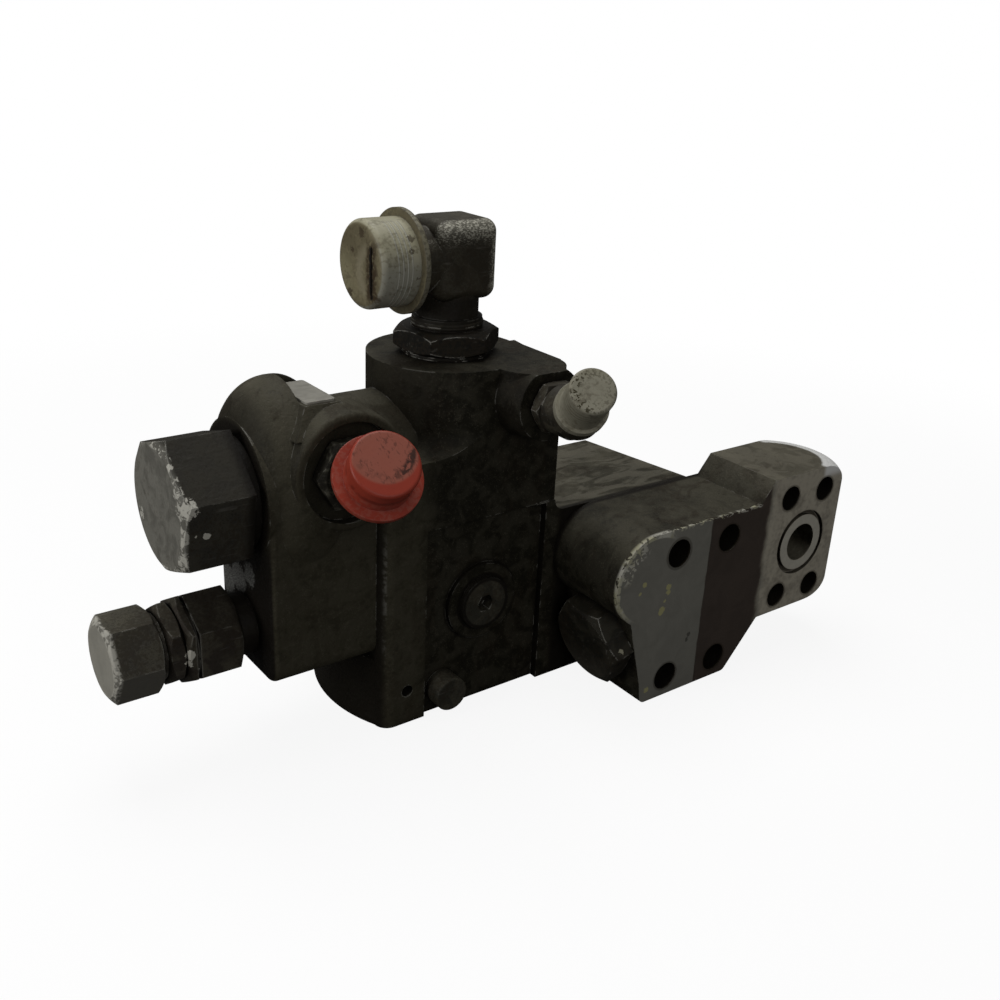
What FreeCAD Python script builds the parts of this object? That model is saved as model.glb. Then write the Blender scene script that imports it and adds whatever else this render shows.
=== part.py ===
import FreeCAD, Part
import math
import os
from FreeCAD import Vector

# Hose rupture valve that bolts to a hydraulic cylinder. All lengths are in millimetres.
# The origin is where the axis of the top port meets the base plane.
# +X points to the pipe flange, -Y to the front, where the two flange faces lie, and +Z is up.

# Clearances
running_gap = 0.03      # radial, a shaft or a thread in its bore
seat_gap = 0.3          # between parts of different bodies that meet at rest
cap_gap = 0.25          # radial, a plastic cap over its thread
groove_gap = 0.1        # between a seal ring and the walls of its groove
spring_gap = 0.5        # radial, a spring in its pocket
hex_chamfer = 1.2       # from the flats of a hexagon to the round that its chamfer leaves

# Centre block and top boss
block_left = -57.0
block_right = 41.5
block_half_depth = 38.0
block_round = 7.0
boss_radius = 38.0
boss_top = 172.4
shoulder_height = 134.0
boss_cove = 10.0
side_bulge = 7.0
side_bulge_height = 36.0
strip_right = -33.0
strip_top = 100.0
recess_depth = 3.0
recess_right = 36.0
recess_top = 30.0
tooling_hole_radius = 3.0
tooling_hole_depth = 12.0
tooling_hole_x = -43.0
tooling_hole_z = 18.0

# Front lug that carries the pilot port
lug_x = 21.5
lug_radius = 17.5
lug_front = -54.0
lug_taper = 7.0

# Left barrel round the main bore, and its skirt
bore_axis_z = 122.5
barrel_left = -109.0
rim_radius = 33.0
rim_width = 9.0
dome_radius = 49.5
dome_x = -88.0
dome_flatness = 0.76
dome_neck_radius = 36.0
dome_neck_x = -56.0
dome_end_x = -15.0
skirt_front = -32.0
skirt_back = 21.0
skirt_bottom = 38.5
skirt_round = 8.0
skirt_edge = 3.0
plate_x = -79.0
plate_y = -7.9
plate_length = 14.0
plate_width = 30.2
plate_seat_height = 42.5
plate_thickness = 1.0
plate_margin = 1.5
plate_pad = 12.0
plate_pad_spread = 9.0

# Main cartridge
main_thread_radius = 21.0
main_thread_depth = 25.0
main_bore_radius = 16.0
main_plug_flats = 52.0
main_plug_end_x = -142.5
main_plug_turn = 5.6
main_plug_collar_radius = 26.0
main_plug_collar = 4.0
main_plug_shank = 22.0
main_ring_radius = 23.3
main_ring_section = 1.2
main_seat_x = -34.0
main_seat_width = 10.0
main_seat_radius = 8.5
main_chamber_radius = 13.0
poppet_length = 44.0
poppet_orifice_radius = 1.2
poppet_nose = 23.0
poppet_nose_radius = 11.5
poppet_tip_radius = 5.0
poppet_pocket = 17.0
poppet_wall = 3.0
main_spring_wire = 2.4
main_spring_radius = 9.8
main_spring_turns = 5
main_spring_pocket = 14.0

# Pilot piston
piston_radius = 8.0
piston_length = 12.0
piston_rod_radius = 4.0
piston_bore_x = 14.0
piston_bore_end = 36.0
piston_end_gap = 5.0

# Relief cartridge
relief_y = -3.0
relief_axis_z = 59.1
relief_end_x = -174.8
relief_thread_radius = 11.5
relief_thread_depth = 30.0
relief_shank = 27.0
relief_collar_radius = 14.5
relief_collar = 8.5
relief_hex_flats = 37.5
relief_hex = 25.7
relief_groove_start = 3.7
relief_groove = 1.6
relief_groove_depth = 0.9
relief_bore_radius = 6.5
relief_seat_wall = 4.0
relief_seat_radius = 2.8
relief_poppet_length = 12.0
relief_poppet_cone = 5.0
relief_poppet_tip_radius = 1.6
relief_spring_wire = 1.3
relief_spring_radius = 4.4
relief_spring_length = 18.0
relief_spring_turns = 5
relief_nut_flats = 34.0
relief_nut = 7.6
relief_nut_turn = 5.0
relief_screw_end_x = -166.0
relief_slot_width = 1.6
relief_slot_depth = 2.5
relief_neck_radius = 15.0
relief_neck = 1.6
relief_cap_flats = 34.5
relief_cap_turn = 30.0
relief_cap_wall = 6.0
relief_ring_radius = 12.8
relief_ring_section = 0.9

# Top port and its swivel elbow
top_thread_radius = 16.6
top_thread_depth = 24.0
top_passage_radius = 12.5
top_shank = 20.0
top_neck_radius = 14.6
top_neck_start = 190.0
lock_nut_flats = 44.45
lock_nut_height = 11.0
lock_nut_turn = 39.5
washer_radius = 21.0
washer_height = 1.6
top_ring_section = 1.5
elbow_half_depth = 15.5
elbow_right = 18.0
elbow_left = -15.0
elbow_bottom = 198.5
elbow_top = 235.0
elbow_round = 6.0
elbow_leg_z = 216.5
elbow_leg_radius = 15.0
elbow_thread_x = -25.5
elbow_bore_radius = 10.0
top_cap_radius = 19.7
top_cap_start_x = -25.0
top_cap_end_x = -47.0
top_cap_flange_radius = 23.5
top_cap_flange = 2.4
top_cap_wall = 2.05
top_cap_round = 3.0
top_cap_slot_y = -9.8
top_cap_slot_width = 1.3
top_cap_slot_low = 203.0
top_cap_slot_high = 225.7
top_cap_slot_depth = 1.2

# Drain and pilot fittings, two small 45 degree elbows
fitting_bend = 45.0
fitting_thread_radius = 8.0
fitting_thread_depth = 14.0
fitting_shank = 11.0
fitting_bore_radius = 3.2
fitting_ring_section = 1.0
fitting_cap_wall = 1.7
fitting_cap_round = 1.4
drain_x = -72.0
drain_height = 13.8
drain_turn = 14.0
drain_spotface_radius = 23.0
drain_boss_front = -37.0
drain_boss_back = -18.0
drain_boss_radius = 27.0
drain_boss_spread = 1.5
drain_boss_round = 2.5
drain_nut_flats = 30.0
drain_nut = 8.0
drain_leg = 22.0
drain_leg_radius = 10.0
drain_cap_start = 8.0
drain_cap_radius = 14.8
drain_cap_length = 17.0
drain_cap_flange_radius = 19.2
drain_cap_flange = 2.6
pilot_x = 21.5
pilot_depth = 14.9
pilot_turn = 31.0
pilot_spotface_radius = 14.0
pilot_nut_flats = 22.0
pilot_nut = 7.0
pilot_leg = 18.0
pilot_leg_radius = 11.5
pilot_cap_start = 8.0
pilot_cap_radius = 10.4
pilot_cap_length = 25.0
pilot_cap_flange_radius = 12.2
pilot_cap_flange = 4.0
pilot_drop_x = 33.5
pilot_drop_y = -27.0
pilot_drop_radius = 2.0

# Check valve behind the front socket plug
check_axis_z = 55.0
check_boss_radius = 20.0
check_boss_height = 2.5
check_thread_radius = 11.0
check_thread_depth = 10.0
check_plug_radius = 13.6
check_plug_head = 3.0
check_plug_shank = 6.0
check_socket_flats = 8.0
check_socket_depth = 6.0
check_bore_radius = 6.0
check_seat_y = -13.0
check_seat_radius = 3.5
check_ball_radius = 5.0
check_ring_radius = 12.3
check_ring_section = 0.8
check_spring_wire = 0.9
check_spring_radius = 3.4
check_spring_turns = 3

# Stub plug in the base corner
stub_x = -22.0
stub_z = 13.0
stub_radius = 8.75
stub_head = 11.0
stub_shank_radius = 6.0
stub_shank = 12.0
stub_edge = 1.0

# Arm that meets the cylinder, and the passages in it
seam_y = -39.0
arm_back = 36.0
arm_right_back = 126.0
arm_right_front = 137.0
arm_top = 94.5
arm_left = 30.0
arm_round = 4.0
arm_cove = 6.0
duct_z = 46.0
duct_radius = 10.5
riser_x = -46.0
riser_radius = 7.5
cylinder_port_radius = 16.0
cylinder_groove_inner = 19.5
cylinder_groove_outer = 23.5
cylinder_groove_depth = 2.8

# Flange block
flange_face = -87.7
flange_lug_x = 67.0
flange_lug_radius = 24.5
flange_toe_x = 65.5
flange_bottom_right = 127.0
flange_heel_z = 26.0
flange_edge = 4.0
mount_x = 100.1
mount_z = 46.0
mount_spacing_x = 35.7
mount_spacing_z = 69.9
mount_hole_radius = 7.5
seam_ring_radius = 19.5
seam_ring_section = 1.7
screw_x = 100.1
screw_low_z = 9.0
screw_high_z = 84.0
screw_radius = 4.0
screw_head_radius = 6.5
screw_head = 8.0
screw_sink = 9.0
screw_grip = 14.0
screw_socket_flats = 6.0

# Pipe pad on the flange block
pad_x = 177.0
pad_z = 64.4
pad_half_width = 28.0
pad_bulge = 8.5
pad_top = 106.0
pad_back = -41.0
pad_corner = 11.0
pad_ramp = 10.0
pad_spacing_x = 27.8
pad_spacing_z = 57.2
pad_hole_radius = 6.8
pad_hole_depth = 27.0
pad_port_radius = 10.6
pad_port_depth = 34.0
pad_groove_inner = 16.2
pad_groove_outer = 18.6
pad_groove_depth = 2.6

# Cross drilling of the flange block, and its plug
cross_tilt = 15.0
cross_bore_radius = 12.0
cross_thread_radius = 16.5
cross_thread_depth = 15.0
cross_plug_flats = 41.0
cross_plug_head = 12.5
cross_plug_shank = 13.0
cross_plug_x = 46.2
cross_ring_radius = 17.9
cross_ring_section = 1.2

x_axis = Vector(1, 0, 0)
y_axis = Vector(0, 1, 0)
z_axis = Vector(0, 0, 1)
origin = Vector(0, 0, 0)


def at(x, y, z):
    """A point."""
    return Vector(x, y, z)


def along(start, direction, distance):
    """The point that lies so far from start along a unit direction."""
    return start.add(Vector(direction).multiply(distance))


def cylinder(radius, start, end):
    """A solid cylinder between the centres of its two ends."""
    reach = end.sub(start)
    return Part.makeCylinder(radius, reach.Length, start, reach)


def block(x0, x1, y0, y1, z0, z1):
    """A box between two corners."""
    return Part.makeBox(x1 - x0, y1 - y0, z1 - z0, Vector(x0, y0, z0))


def placed(shape, start, direction):
    """A shape that was built along +Z from the origin, put at start and turned to the direction."""
    result = shape.copy()
    result.Placement = FreeCAD.Placement(start, FreeCAD.Rotation(z_axis, direction))
    return result


def turned(profile, start, direction):
    """A body of revolution from (radius, height) points along the direction."""
    points = [Vector(radius, 0, height) for radius, height in profile]
    face = Part.Face(Part.makePolygon(points + [points[0]]))
    return placed(face.revolve(origin, z_axis, 360), start, direction)


def prism(points, push):
    """A flat outline pushed along a vector."""
    return Part.Face(Part.makePolygon(points + [points[0]])).extrude(push)


def hexagon(flats, height, start, direction, turn=0.0, low=None, high=None):
    """A hexagonal prism. low and high are the radii of the flat that its end chamfers leave."""
    corner = flats / math.sqrt(3)
    slope = math.tan(math.radians(30))
    points = []
    for index in range(6):
        angle = math.radians(turn + 60 * index)
        points.append(Vector(corner * math.cos(angle), corner * math.sin(angle), 0))
    body = prism(points, Vector(0, 0, height))
    edge = corner + 1
    profile = [(0, 0)]
    profile += [(low, 0), (edge, (edge - low) * slope)] if low else [(edge, 0)]
    profile += [(edge, height - (edge - high) * slope), (high, height)] if high else [(edge, height)]
    profile += [(0, height)]
    return placed(body.common(turned(profile, origin, z_axis)), start, direction)


def ring(radius, section, centre, direction):
    """A round seal ring."""
    return Part.makeTorus(radius, section, centre, direction)


def ring_groove(radius, section, start, direction):
    """The tool for a groove in a face, sunk along the direction, that holds a seal ring."""
    bottom = along(start, direction, section * 2 + groove_gap)
    outer = cylinder(radius + section + groove_gap, start, bottom)
    return outer.cut(cylinder(radius - section - groove_gap, start, bottom))


def spring(radius, wire, start, end, turns):
    """A compression spring of round wire that fills the room between start and end."""
    reach = end.sub(start)
    lift = reach.Length - wire
    path = Part.makeHelix(lift / turns, lift, radius)
    section = Part.Wire([Part.makeCircle(wire / 2, Vector(radius, 0, 0), y_axis)])
    coil = Part.Wire(path.Edges).makePipeShell([section], True, True)
    reach.normalize()
    return placed(coil, along(start, reach, wire / 2), reach)


def rounded(shape, radius, wanted):
    """The shape with a fillet on each edge that the test accepts by its middle."""
    return shape.makeFillet(radius, [edge for edge in shape.Edges if wanted(edge.CenterOfMass, edge)])


def fused(first, *others):
    """Several overlapping solids as one."""
    return first.multiFuse(list(others)).removeSplitter()


def cut(shape, *tools):
    """A shape with several tools taken out of it."""
    return shape.cut(list(tools))


def corners(x, z, spacing_x, spacing_z):
    """The places of a four hole pattern."""
    return [(x + side * spacing_x / 2, z + rise * spacing_z / 2) for side in (-1, 1) for rise in (-1, 1)]


def near(value, target):
    """Whether two lengths agree to a tenth of a millimetre."""
    return abs(value - target) < 0.1


# Places and directions that follow from the sizes
plate_seat_z = bore_axis_z + plate_seat_height
drain_z = bore_axis_z + drain_height
pilot_z = boss_top - pilot_depth
lean = math.radians(cross_tilt)
cross_direction = Vector(math.cos(lean), 0, math.sin(lean))
cross_y = (flange_face + seam_y) / 2
cross_end = at(cross_plug_x, cross_y, pad_z - (pad_x - cross_plug_x) * math.tan(lean))
cross_seat = along(cross_end, cross_direction, cross_plug_head)
cross_meet = at(pad_x, cross_y, pad_z)
flange_lug_z = arm_top - flange_lug_radius
flange_heel_x = pad_x - pad_half_width
pad_right = pad_x + pad_half_width
plug_face = at(barrel_left, 0, bore_axis_z)
seat_right = main_seat_x + main_seat_width
relief_face = at(barrel_left, relief_y, relief_axis_z)
check_front = -block_half_depth + recess_depth - check_boss_height
seat_lead = seat_gap * math.sqrt(2)
poppet_tip = main_seat_x - seat_lead + main_seat_radius - poppet_tip_radius
relief_seat_x = barrel_left + relief_shank - relief_seat_wall
relief_tip = relief_seat_x - seat_lead + relief_seat_radius - relief_poppet_tip_radius
relief_nut_x = barrel_left - relief_collar - relief_hex
left = Vector(-1, 0, 0)
front = Vector(0, -1, 0)
solids = {}


def bent(turn):
    """The direction of a small elbow's second leg, when the elbow is turned that far from upright."""
    bend = math.radians(fitting_bend)
    side = math.radians(turn)
    return Vector(-math.sin(side) * math.sin(bend), -math.cos(bend), math.cos(side) * math.sin(bend))


def casting_block():
    """The centre block with its round boss, its front lug and the swollen foot."""
    body = block(block_left, block_right, -block_half_depth, block_half_depth, 0, shoulder_height)
    body = rounded(body, block_round, lambda c, e: near(c.z, shoulder_height / 2) and c.x < 0)
    boss = cylinder(boss_radius, at(0, 0, shoulder_height / 2), at(0, 0, boss_top))
    chord = block_half_depth - block_round
    swell = (chord ** 2 + side_bulge ** 2) / (2 * side_bulge)
    centre = block_left - side_bulge + swell
    foot = cylinder(swell, at(centre, 0, 0), at(centre, 0, side_bulge_height))
    foot = foot.common(block(block_left - side_bulge, 0, -chord, chord, 0, side_bulge_height))
    side = block(0, block_right - 2, -block_half_depth, 0, shoulder_height - 20, boss_top)
    return fused(body, boss, foot, side, boss_foot(), front_lug())


def boss_foot():
    """The cove between the round boss and the shoulders of the block."""
    outer = boss_radius + boss_cove
    wide = cylinder(outer, at(0, 0, shoulder_height - 1), at(0, 0, shoulder_height + boss_cove))
    cove = Part.makeTorus(outer, boss_cove, at(0, 0, shoulder_height + boss_cove), z_axis)
    foot = wide.cut(cove)
    return foot.common(block(block_left + block_round, block_right, -block_half_depth, block_half_depth,
                             shoulder_height - 1, shoulder_height + boss_cove))


def front_lug():
    """The lug of the pilot port: round below, straight above, and wider towards the boss."""
    root = Part.makeCone(lug_radius, lug_radius + lug_taper, -lug_front, at(lug_x, lug_front, pilot_z),
                         y_axis)
    root = root.common(block(0, boss_radius * 2, lug_front, 0, 0, boss_top))
    upper = cylinder(lug_radius, at(lug_x, lug_front + lug_radius, pilot_z),
                     at(lug_x, lug_front + lug_radius, boss_top))
    back = block(lug_x - lug_radius, lug_x + lug_radius, lug_front + lug_radius, 0, pilot_z, boss_top)
    return fused(root, fused(upper, back))


def plate_outline(margin, height):
    """A rectangle at a height round the type plate, larger than it by a margin."""
    length = plate_length / 2 + margin
    width = plate_width / 2 + margin
    points = [at(plate_x + side * length, plate_y + depth * width, height)
              for side, depth in ((-1, -1), (1, -1), (1, 1), (-1, 1))]
    return Part.makePolygon(points + [points[0]])


def plate_block(margin, bottom, top):
    """A block at or over the type plate, larger than it by a margin."""
    return Part.Face(plate_outline(margin, bottom)).extrude(Vector(0, 0, top - bottom))


def plate_mound():
    """The mound under the type plate, with sloping sides that run into the dome."""
    low = plate_outline(plate_margin + plate_pad_spread, plate_seat_z - plate_pad)
    return Part.makeLoft([low, plate_outline(plate_margin, plate_seat_z)], True, True)


def drain_boss():
    """The round boss that stands out of the dome around the drain port."""
    boss = Part.makeCone(drain_boss_radius, drain_boss_radius + drain_boss_spread,
                         drain_boss_back - drain_boss_front,
                         at(drain_x, drain_boss_front, drain_z), y_axis)
    return rounded(boss, drain_boss_round, lambda c, e: near(c.y, drain_boss_front))


def casting_barrel():
    """The rim, the dome behind it and the straight skirt below."""
    rim = cylinder(rim_radius, plug_face, at(barrel_left + rim_width * 2, 0, bore_axis_z))
    outline = [
        at(barrel_left, 0, 0),
        at(barrel_left, 0, rim_radius - 1),
        at(dome_x, 0, dome_radius),
        at(dome_neck_x, 0, dome_neck_radius),
        at(dome_end_x, 0, dome_neck_radius),
        at(dome_end_x, 0, 0),
    ]
    crown = Part.Arc(outline[1], at((outline[1].x + dome_x) / 2 - 3, 0, (rim_radius + dome_radius) / 2 + 4),
                     outline[2])
    tail = Part.BSplineCurve()
    tail.interpolate(Points=[outline[2], outline[3]], Tangents=[Vector(30, 0, 0), Vector(20, 0, 2)],
                     TangentFlags=[True, True])
    edges = [
        Part.LineSegment(outline[0], outline[1]).toShape(),
        crown.toShape(),
        tail.toShape(),
        Part.LineSegment(outline[3], outline[4]).toShape(),
        Part.LineSegment(outline[4], outline[5]).toShape(),
        Part.LineSegment(outline[5], outline[0]).toShape(),
    ]
    dome = Part.Face(Part.Wire(edges)).revolve(origin, x_axis, 360)
    flatten = FreeCAD.Matrix()
    flatten.scale(1, dome_flatness, 1)
    dome = dome.transformGeometry(flatten)
    dome.translate(Vector(0, 0, bore_axis_z))
    skirt = block(barrel_left, block_left + 8, skirt_front, skirt_back, skirt_bottom, bore_axis_z)
    skirt = rounded(skirt, skirt_round, lambda c, e: near(c.z, skirt_bottom) and not near(c.x, block_left + 8)
                    and not near(c.x, barrel_left))
    skirt = rounded(skirt, skirt_edge, lambda c, e: near(c.x, barrel_left) and not near(c.z, bore_axis_z))
    return fused(rim, dome, skirt, plate_mound(), drain_boss())


def casting_arm():
    """The arm that reaches behind the flange block."""
    outline = [
        at(arm_left, seam_y, 0),
        at(arm_right_front, seam_y, 0),
        at(arm_right_back, arm_back, 0),
        at(arm_left, arm_back, 0),
    ]
    arm = prism(outline, Vector(0, 0, arm_top))
    arm = rounded(arm, arm_round, lambda c, e: c.x > arm_left + 1 and near(c.z, arm_top) and c.y > seam_y + 1)
    corner = block(arm_left, block_right + arm_cove, seam_y, arm_back, arm_top - arm_round,
                   arm_top + arm_cove)
    hollow = cylinder(arm_cove, at(block_right + arm_cove, seam_y - 1, arm_top + arm_cove),
                      at(block_right + arm_cove, arm_back + 1, arm_top + arm_cove))
    return fused(arm, corner.cut(hollow))


def make_housing():
    """The main casting with all its machining."""
    check_boss = cylinder(check_boss_radius, at(0, 0, check_axis_z), at(0, check_front, check_axis_z))
    body = fused(casting_block(), casting_barrel(), casting_arm(), check_boss)
    front = -block_half_depth
    recess = block(strip_right, recess_right, front - 1, front + recess_depth, -1, recess_top)
    recess = fused(recess, block(strip_right, recess_right, front - 1, front + recess_depth, recess_top - 1,
                                 strip_top))
    recess = recess.cut(cylinder(check_boss_radius, at(0, check_front, check_axis_z), at(0, 0, check_axis_z)))
    fitting_tools = []
    for x, z, face, spot in ((drain_x, drain_z, skirt_front, drain_spotface_radius),
                             (pilot_x, pilot_z, lug_front, pilot_spotface_radius)):
        fitting_tools.append(cylinder(spot, at(x, face, z), at(x, face - 20, z)))
        fitting_tools.append(cylinder(fitting_thread_radius, at(x, face - 1, z),
                                      at(x, face + fitting_thread_depth, z)))
    fitting_tools.append(cylinder(fitting_bore_radius, at(drain_x, skirt_front, drain_z),
                                  at(drain_x, 0, drain_z)))
    fitting_tools.append(cylinder(pilot_drop_radius, at(drain_x, 0, drain_z), at(drain_x, 0, bore_axis_z)))
    drop = at(pilot_drop_x, pilot_drop_y, 0)
    fitting_tools.append(cylinder(fitting_bore_radius, at(pilot_x, lug_front, pilot_z),
                                  at(pilot_x, drop.y, pilot_z)))
    fitting_tools.append(cylinder(pilot_drop_radius, at(pilot_x, drop.y, pilot_z),
                                  at(drop.x, drop.y, pilot_z)))
    fitting_tools.append(cylinder(pilot_drop_radius, at(drop.x, drop.y, pilot_z),
                                  at(drop.x, drop.y, bore_axis_z)))
    fitting_tools.append(cylinder(pilot_drop_radius, at(drop.x, drop.y, bore_axis_z),
                                  at(drop.x, 0, bore_axis_z)))
    inside = [
        cylinder(main_thread_radius, along(plug_face, x_axis, -1),
                 along(plug_face, x_axis, main_thread_depth)),
        cylinder(main_bore_radius, plug_face, at(seat_right, 0, bore_axis_z)),
        cylinder(main_chamber_radius, at(seat_right, 0, bore_axis_z), at(piston_bore_x, 0, bore_axis_z)),
        cylinder(piston_radius, at(0, 0, bore_axis_z), at(piston_bore_end, 0, bore_axis_z)),
        cylinder(top_thread_radius, at(0, 0, boss_top - top_thread_depth), at(0, 0, boss_top + 1)),
        cylinder(top_passage_radius, at(0, 0, bore_axis_z), at(0, 0, boss_top)),
        cylinder(relief_thread_radius, along(relief_face, x_axis, -1),
                 along(relief_face, x_axis, relief_thread_depth)),
        cylinder(relief_seat_radius, relief_face, at(riser_x, relief_y, relief_axis_z)),
        cylinder(riser_radius, at(riser_x, 0, duct_z), at(riser_x, 0, bore_axis_z)),
        cylinder(duct_radius, at(riser_x, 0, duct_z), at(mount_x, 0, duct_z)),
        cylinder(cylinder_port_radius, at(mount_x, seam_y - 1, mount_z), at(mount_x, arm_back + 1, mount_z)),
        cylinder(check_thread_radius, at(0, check_front - 1, check_axis_z),
                 at(0, check_front + check_thread_depth, check_axis_z)),
        cylinder(check_bore_radius, at(0, check_front, check_axis_z), at(0, check_seat_y, check_axis_z)),
        cylinder(check_seat_radius, at(0, check_seat_y, check_axis_z), at(0, 0, check_axis_z)),
        cylinder(stub_shank_radius, at(stub_x, front - 1, stub_z),
                 at(stub_x, front + recess_depth + stub_shank, stub_z)),
        cylinder(tooling_hole_radius, at(tooling_hole_x, front - 1, tooling_hole_z),
                 at(tooling_hole_x, front + tooling_hole_depth, tooling_hole_z)),
    ]
    groove = cylinder(cylinder_groove_outer, at(mount_x, arm_back - cylinder_groove_depth, mount_z),
                      at(mount_x, arm_back + 1, mount_z))
    groove = groove.cut(cylinder(cylinder_groove_inner, at(mount_x, 0, mount_z),
                                 at(mount_x, arm_back + 2, mount_z)))
    holes = [cylinder(mount_hole_radius, at(x, seam_y - 1, z), at(x, arm_back + 1, z))
             for x, z in corners(mount_x, mount_z, mount_spacing_x, mount_spacing_z)]
    for z in (screw_low_z, screw_high_z):
        holes.append(cylinder(screw_radius, at(screw_x, seam_y - 1, z), at(screw_x, arm_back, z)))
        holes.append(cylinder(screw_head_radius + running_gap, at(screw_x, arm_back - screw_sink, z),
                              at(screw_x, arm_back + 1, z)))
    seat = plate_block(plate_margin, plate_seat_z, plate_seat_z + dome_radius)
    return cut(body, recess, groove, seat, *fitting_tools, *inside, *holes)


solids["main_housing"] = make_housing()


def make_type_plate():
    """The bare plate on the dome."""
    plate = plate_block(0, plate_seat_z, plate_seat_z + plate_thickness)
    return rounded(plate, plate_margin, lambda c, e: near(c.z, plate_seat_z + plate_thickness / 2))


solids["type_plate"] = make_type_plate()


def make_flange():
    """The flange block: plate, pipe pad, bolt holes and passages."""
    up = Vector(-math.sin(lean), 0, math.cos(lean))
    offset = at(cross_seat.x - flange_lug_x, 0, cross_seat.z - flange_lug_z)
    half = -offset.dot(up)
    reach = half - math.sqrt(half ** 2 - offset.dot(offset) + flange_lug_radius ** 2)
    meet = along(at(cross_seat.x, 0, cross_seat.z), up, reach)
    toe = along(at(cross_seat.x, 0, cross_seat.z), up, -cross_plug_flats / 2 - 1)
    points = [
        at(flange_lug_x, 0, arm_top),
        meet,
        toe,
        at(flange_toe_x, 0, 0),
        at(flange_bottom_right, 0, 0),
        at(flange_heel_x, 0, flange_heel_z),
        at(flange_heel_x, 0, arm_top),
    ]
    edges = [Part.Arc(points[0], at(flange_lug_x - flange_lug_radius, 0, flange_lug_z), points[1]).toShape()]
    for start, end in zip(points[1:], points[2:] + points[:1]):
        edges.append(Part.LineSegment(start, end).toShape())
    plate = Part.Face(Part.Wire(edges)).extrude(Vector(0, seam_y - flange_face, 0))
    plate.translate(Vector(0, flange_face, 0))
    plate = rounded(plate, flange_edge, lambda c, e: near(c.y, cross_y) and c.z < 1)
    low = [at(flange_heel_x, flange_face, flange_heel_z), at(pad_right, flange_face, flange_heel_z),
           at(pad_right + pad_bulge, (flange_face + pad_back) / 2, flange_heel_z),
           at(pad_right, pad_back, flange_heel_z), at(flange_heel_x, pad_back, flange_heel_z)]
    side = Part.Arc(low[1], low[2], low[3]).toShape()
    sides = [Part.LineSegment(low[0], low[1]).toShape(), side, Part.LineSegment(low[3], low[4]).toShape(),
             Part.LineSegment(low[4], low[0]).toShape()]
    pad = Part.Face(Part.Wire(sides)).extrude(Vector(0, 0, pad_top - flange_heel_z))
    pad = rounded(pad, pad_corner, lambda c, e: c.x > pad_right and near(e.Length, side.Length))
    ramp = prism([at(flange_heel_x - pad_ramp, flange_face, arm_top - 1),
                  at(flange_heel_x + 1, flange_face, arm_top - 1),
                  at(flange_heel_x + 1, flange_face, pad_top), at(flange_heel_x, flange_face, pad_top)],
                 Vector(0, pad_back - flange_face, 0))
    body = fused(plate, pad, ramp)
    tools = [
        cylinder(cross_plug_flats / math.sqrt(3) + 1, cross_seat, along(cross_seat, cross_direction, -20)),
        cylinder(cross_thread_radius, cross_seat, along(cross_seat, cross_direction, cross_thread_depth)),
        cylinder(cross_bore_radius, cross_seat, cross_meet),
        cylinder(cylinder_port_radius, at(mount_x, cross_y, mount_z), at(mount_x, seam_y + 1, mount_z)),
        cylinder(pad_port_radius, at(pad_x, flange_face - 1, pad_z),
                 at(pad_x, flange_face + pad_port_depth, pad_z)),
        cylinder(pad_groove_outer, at(pad_x, flange_face - 1, pad_z),
                 at(pad_x, flange_face + pad_groove_depth, pad_z)).cut(
            cylinder(pad_groove_inner, at(pad_x, flange_face - 1, pad_z), at(pad_x, flange_face + 9, pad_z))),
        ring_groove(seam_ring_radius, seam_ring_section, at(mount_x, seam_y, mount_z), front),
    ]
    for x, z in corners(mount_x, mount_z, mount_spacing_x, mount_spacing_z):
        tools.append(cylinder(mount_hole_radius, at(x, flange_face - 1, z), at(x, seam_y + 1, z)))
    for z in (screw_low_z, screw_high_z):
        tools.append(cylinder(screw_radius, at(screw_x, seam_y + 1, z),
                              at(screw_x, seam_y - screw_grip - 1, z)))
    for x, z in corners(pad_x, pad_z, pad_spacing_x, pad_spacing_z):
        tools.append(cylinder(pad_hole_radius, at(x, flange_face - 1, z),
                              at(x, flange_face + pad_hole_depth, z)))
    return cut(body, *tools)


solids["flange_block"] = make_flange()


def face_ring(radius, section, start, direction):
    """A seal ring in the middle of its face groove."""
    return ring(radius, section, along(start, direction, section + groove_gap / 2), direction)


def make_main_plug():
    """The large plug that closes the main bore, with the pocket for the spring."""
    collar = along(plug_face, left, main_plug_collar)
    inner = along(plug_face, left, -main_plug_shank)
    body = fused(
        cylinder(main_plug_collar_radius, plug_face, collar),
        hexagon(main_plug_flats, collar.x - main_plug_end_x, collar, left, main_plug_turn,
                high=main_plug_flats / 2 - hex_chamfer),
        cylinder(main_thread_radius - running_gap, plug_face, inner),
    )
    pocket = cylinder(main_spring_radius + main_spring_wire / 2 + spring_gap, inner,
                      along(inner, left, main_spring_pocket))
    return cut(body, pocket, ring_groove(main_ring_radius, main_ring_section, plug_face, left))


def make_main_poppet():
    """The poppet: a cone that meets the edge of the seat, a waist and a hollow guide."""
    tip = at(poppet_tip, 0, bore_axis_z)
    guide = main_bore_radius - running_gap
    outline = [
        (poppet_orifice_radius, 0),
        (poppet_tip_radius, 0),
        (poppet_nose_radius, poppet_nose_radius - poppet_tip_radius),
        (poppet_nose_radius, poppet_nose),
        (guide, poppet_nose),
        (guide, poppet_length),
        (guide - poppet_wall, poppet_length),
        (guide - poppet_wall, poppet_length - poppet_pocket),
        (poppet_orifice_radius, poppet_length - poppet_pocket),
    ]
    return turned(outline, tip, left)


def make_pilot_piston():
    """The piston and the rod that pushes the poppet off its seat."""
    face = piston_bore_end - piston_end_gap
    return fused(
        cylinder(piston_radius - running_gap, at(face - piston_length, 0, bore_axis_z),
                 at(face, 0, bore_axis_z)),
        cylinder(piston_rod_radius, at(poppet_tip + seat_gap, 0, bore_axis_z), at(face - 1, 0, bore_axis_z)),
    )


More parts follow.
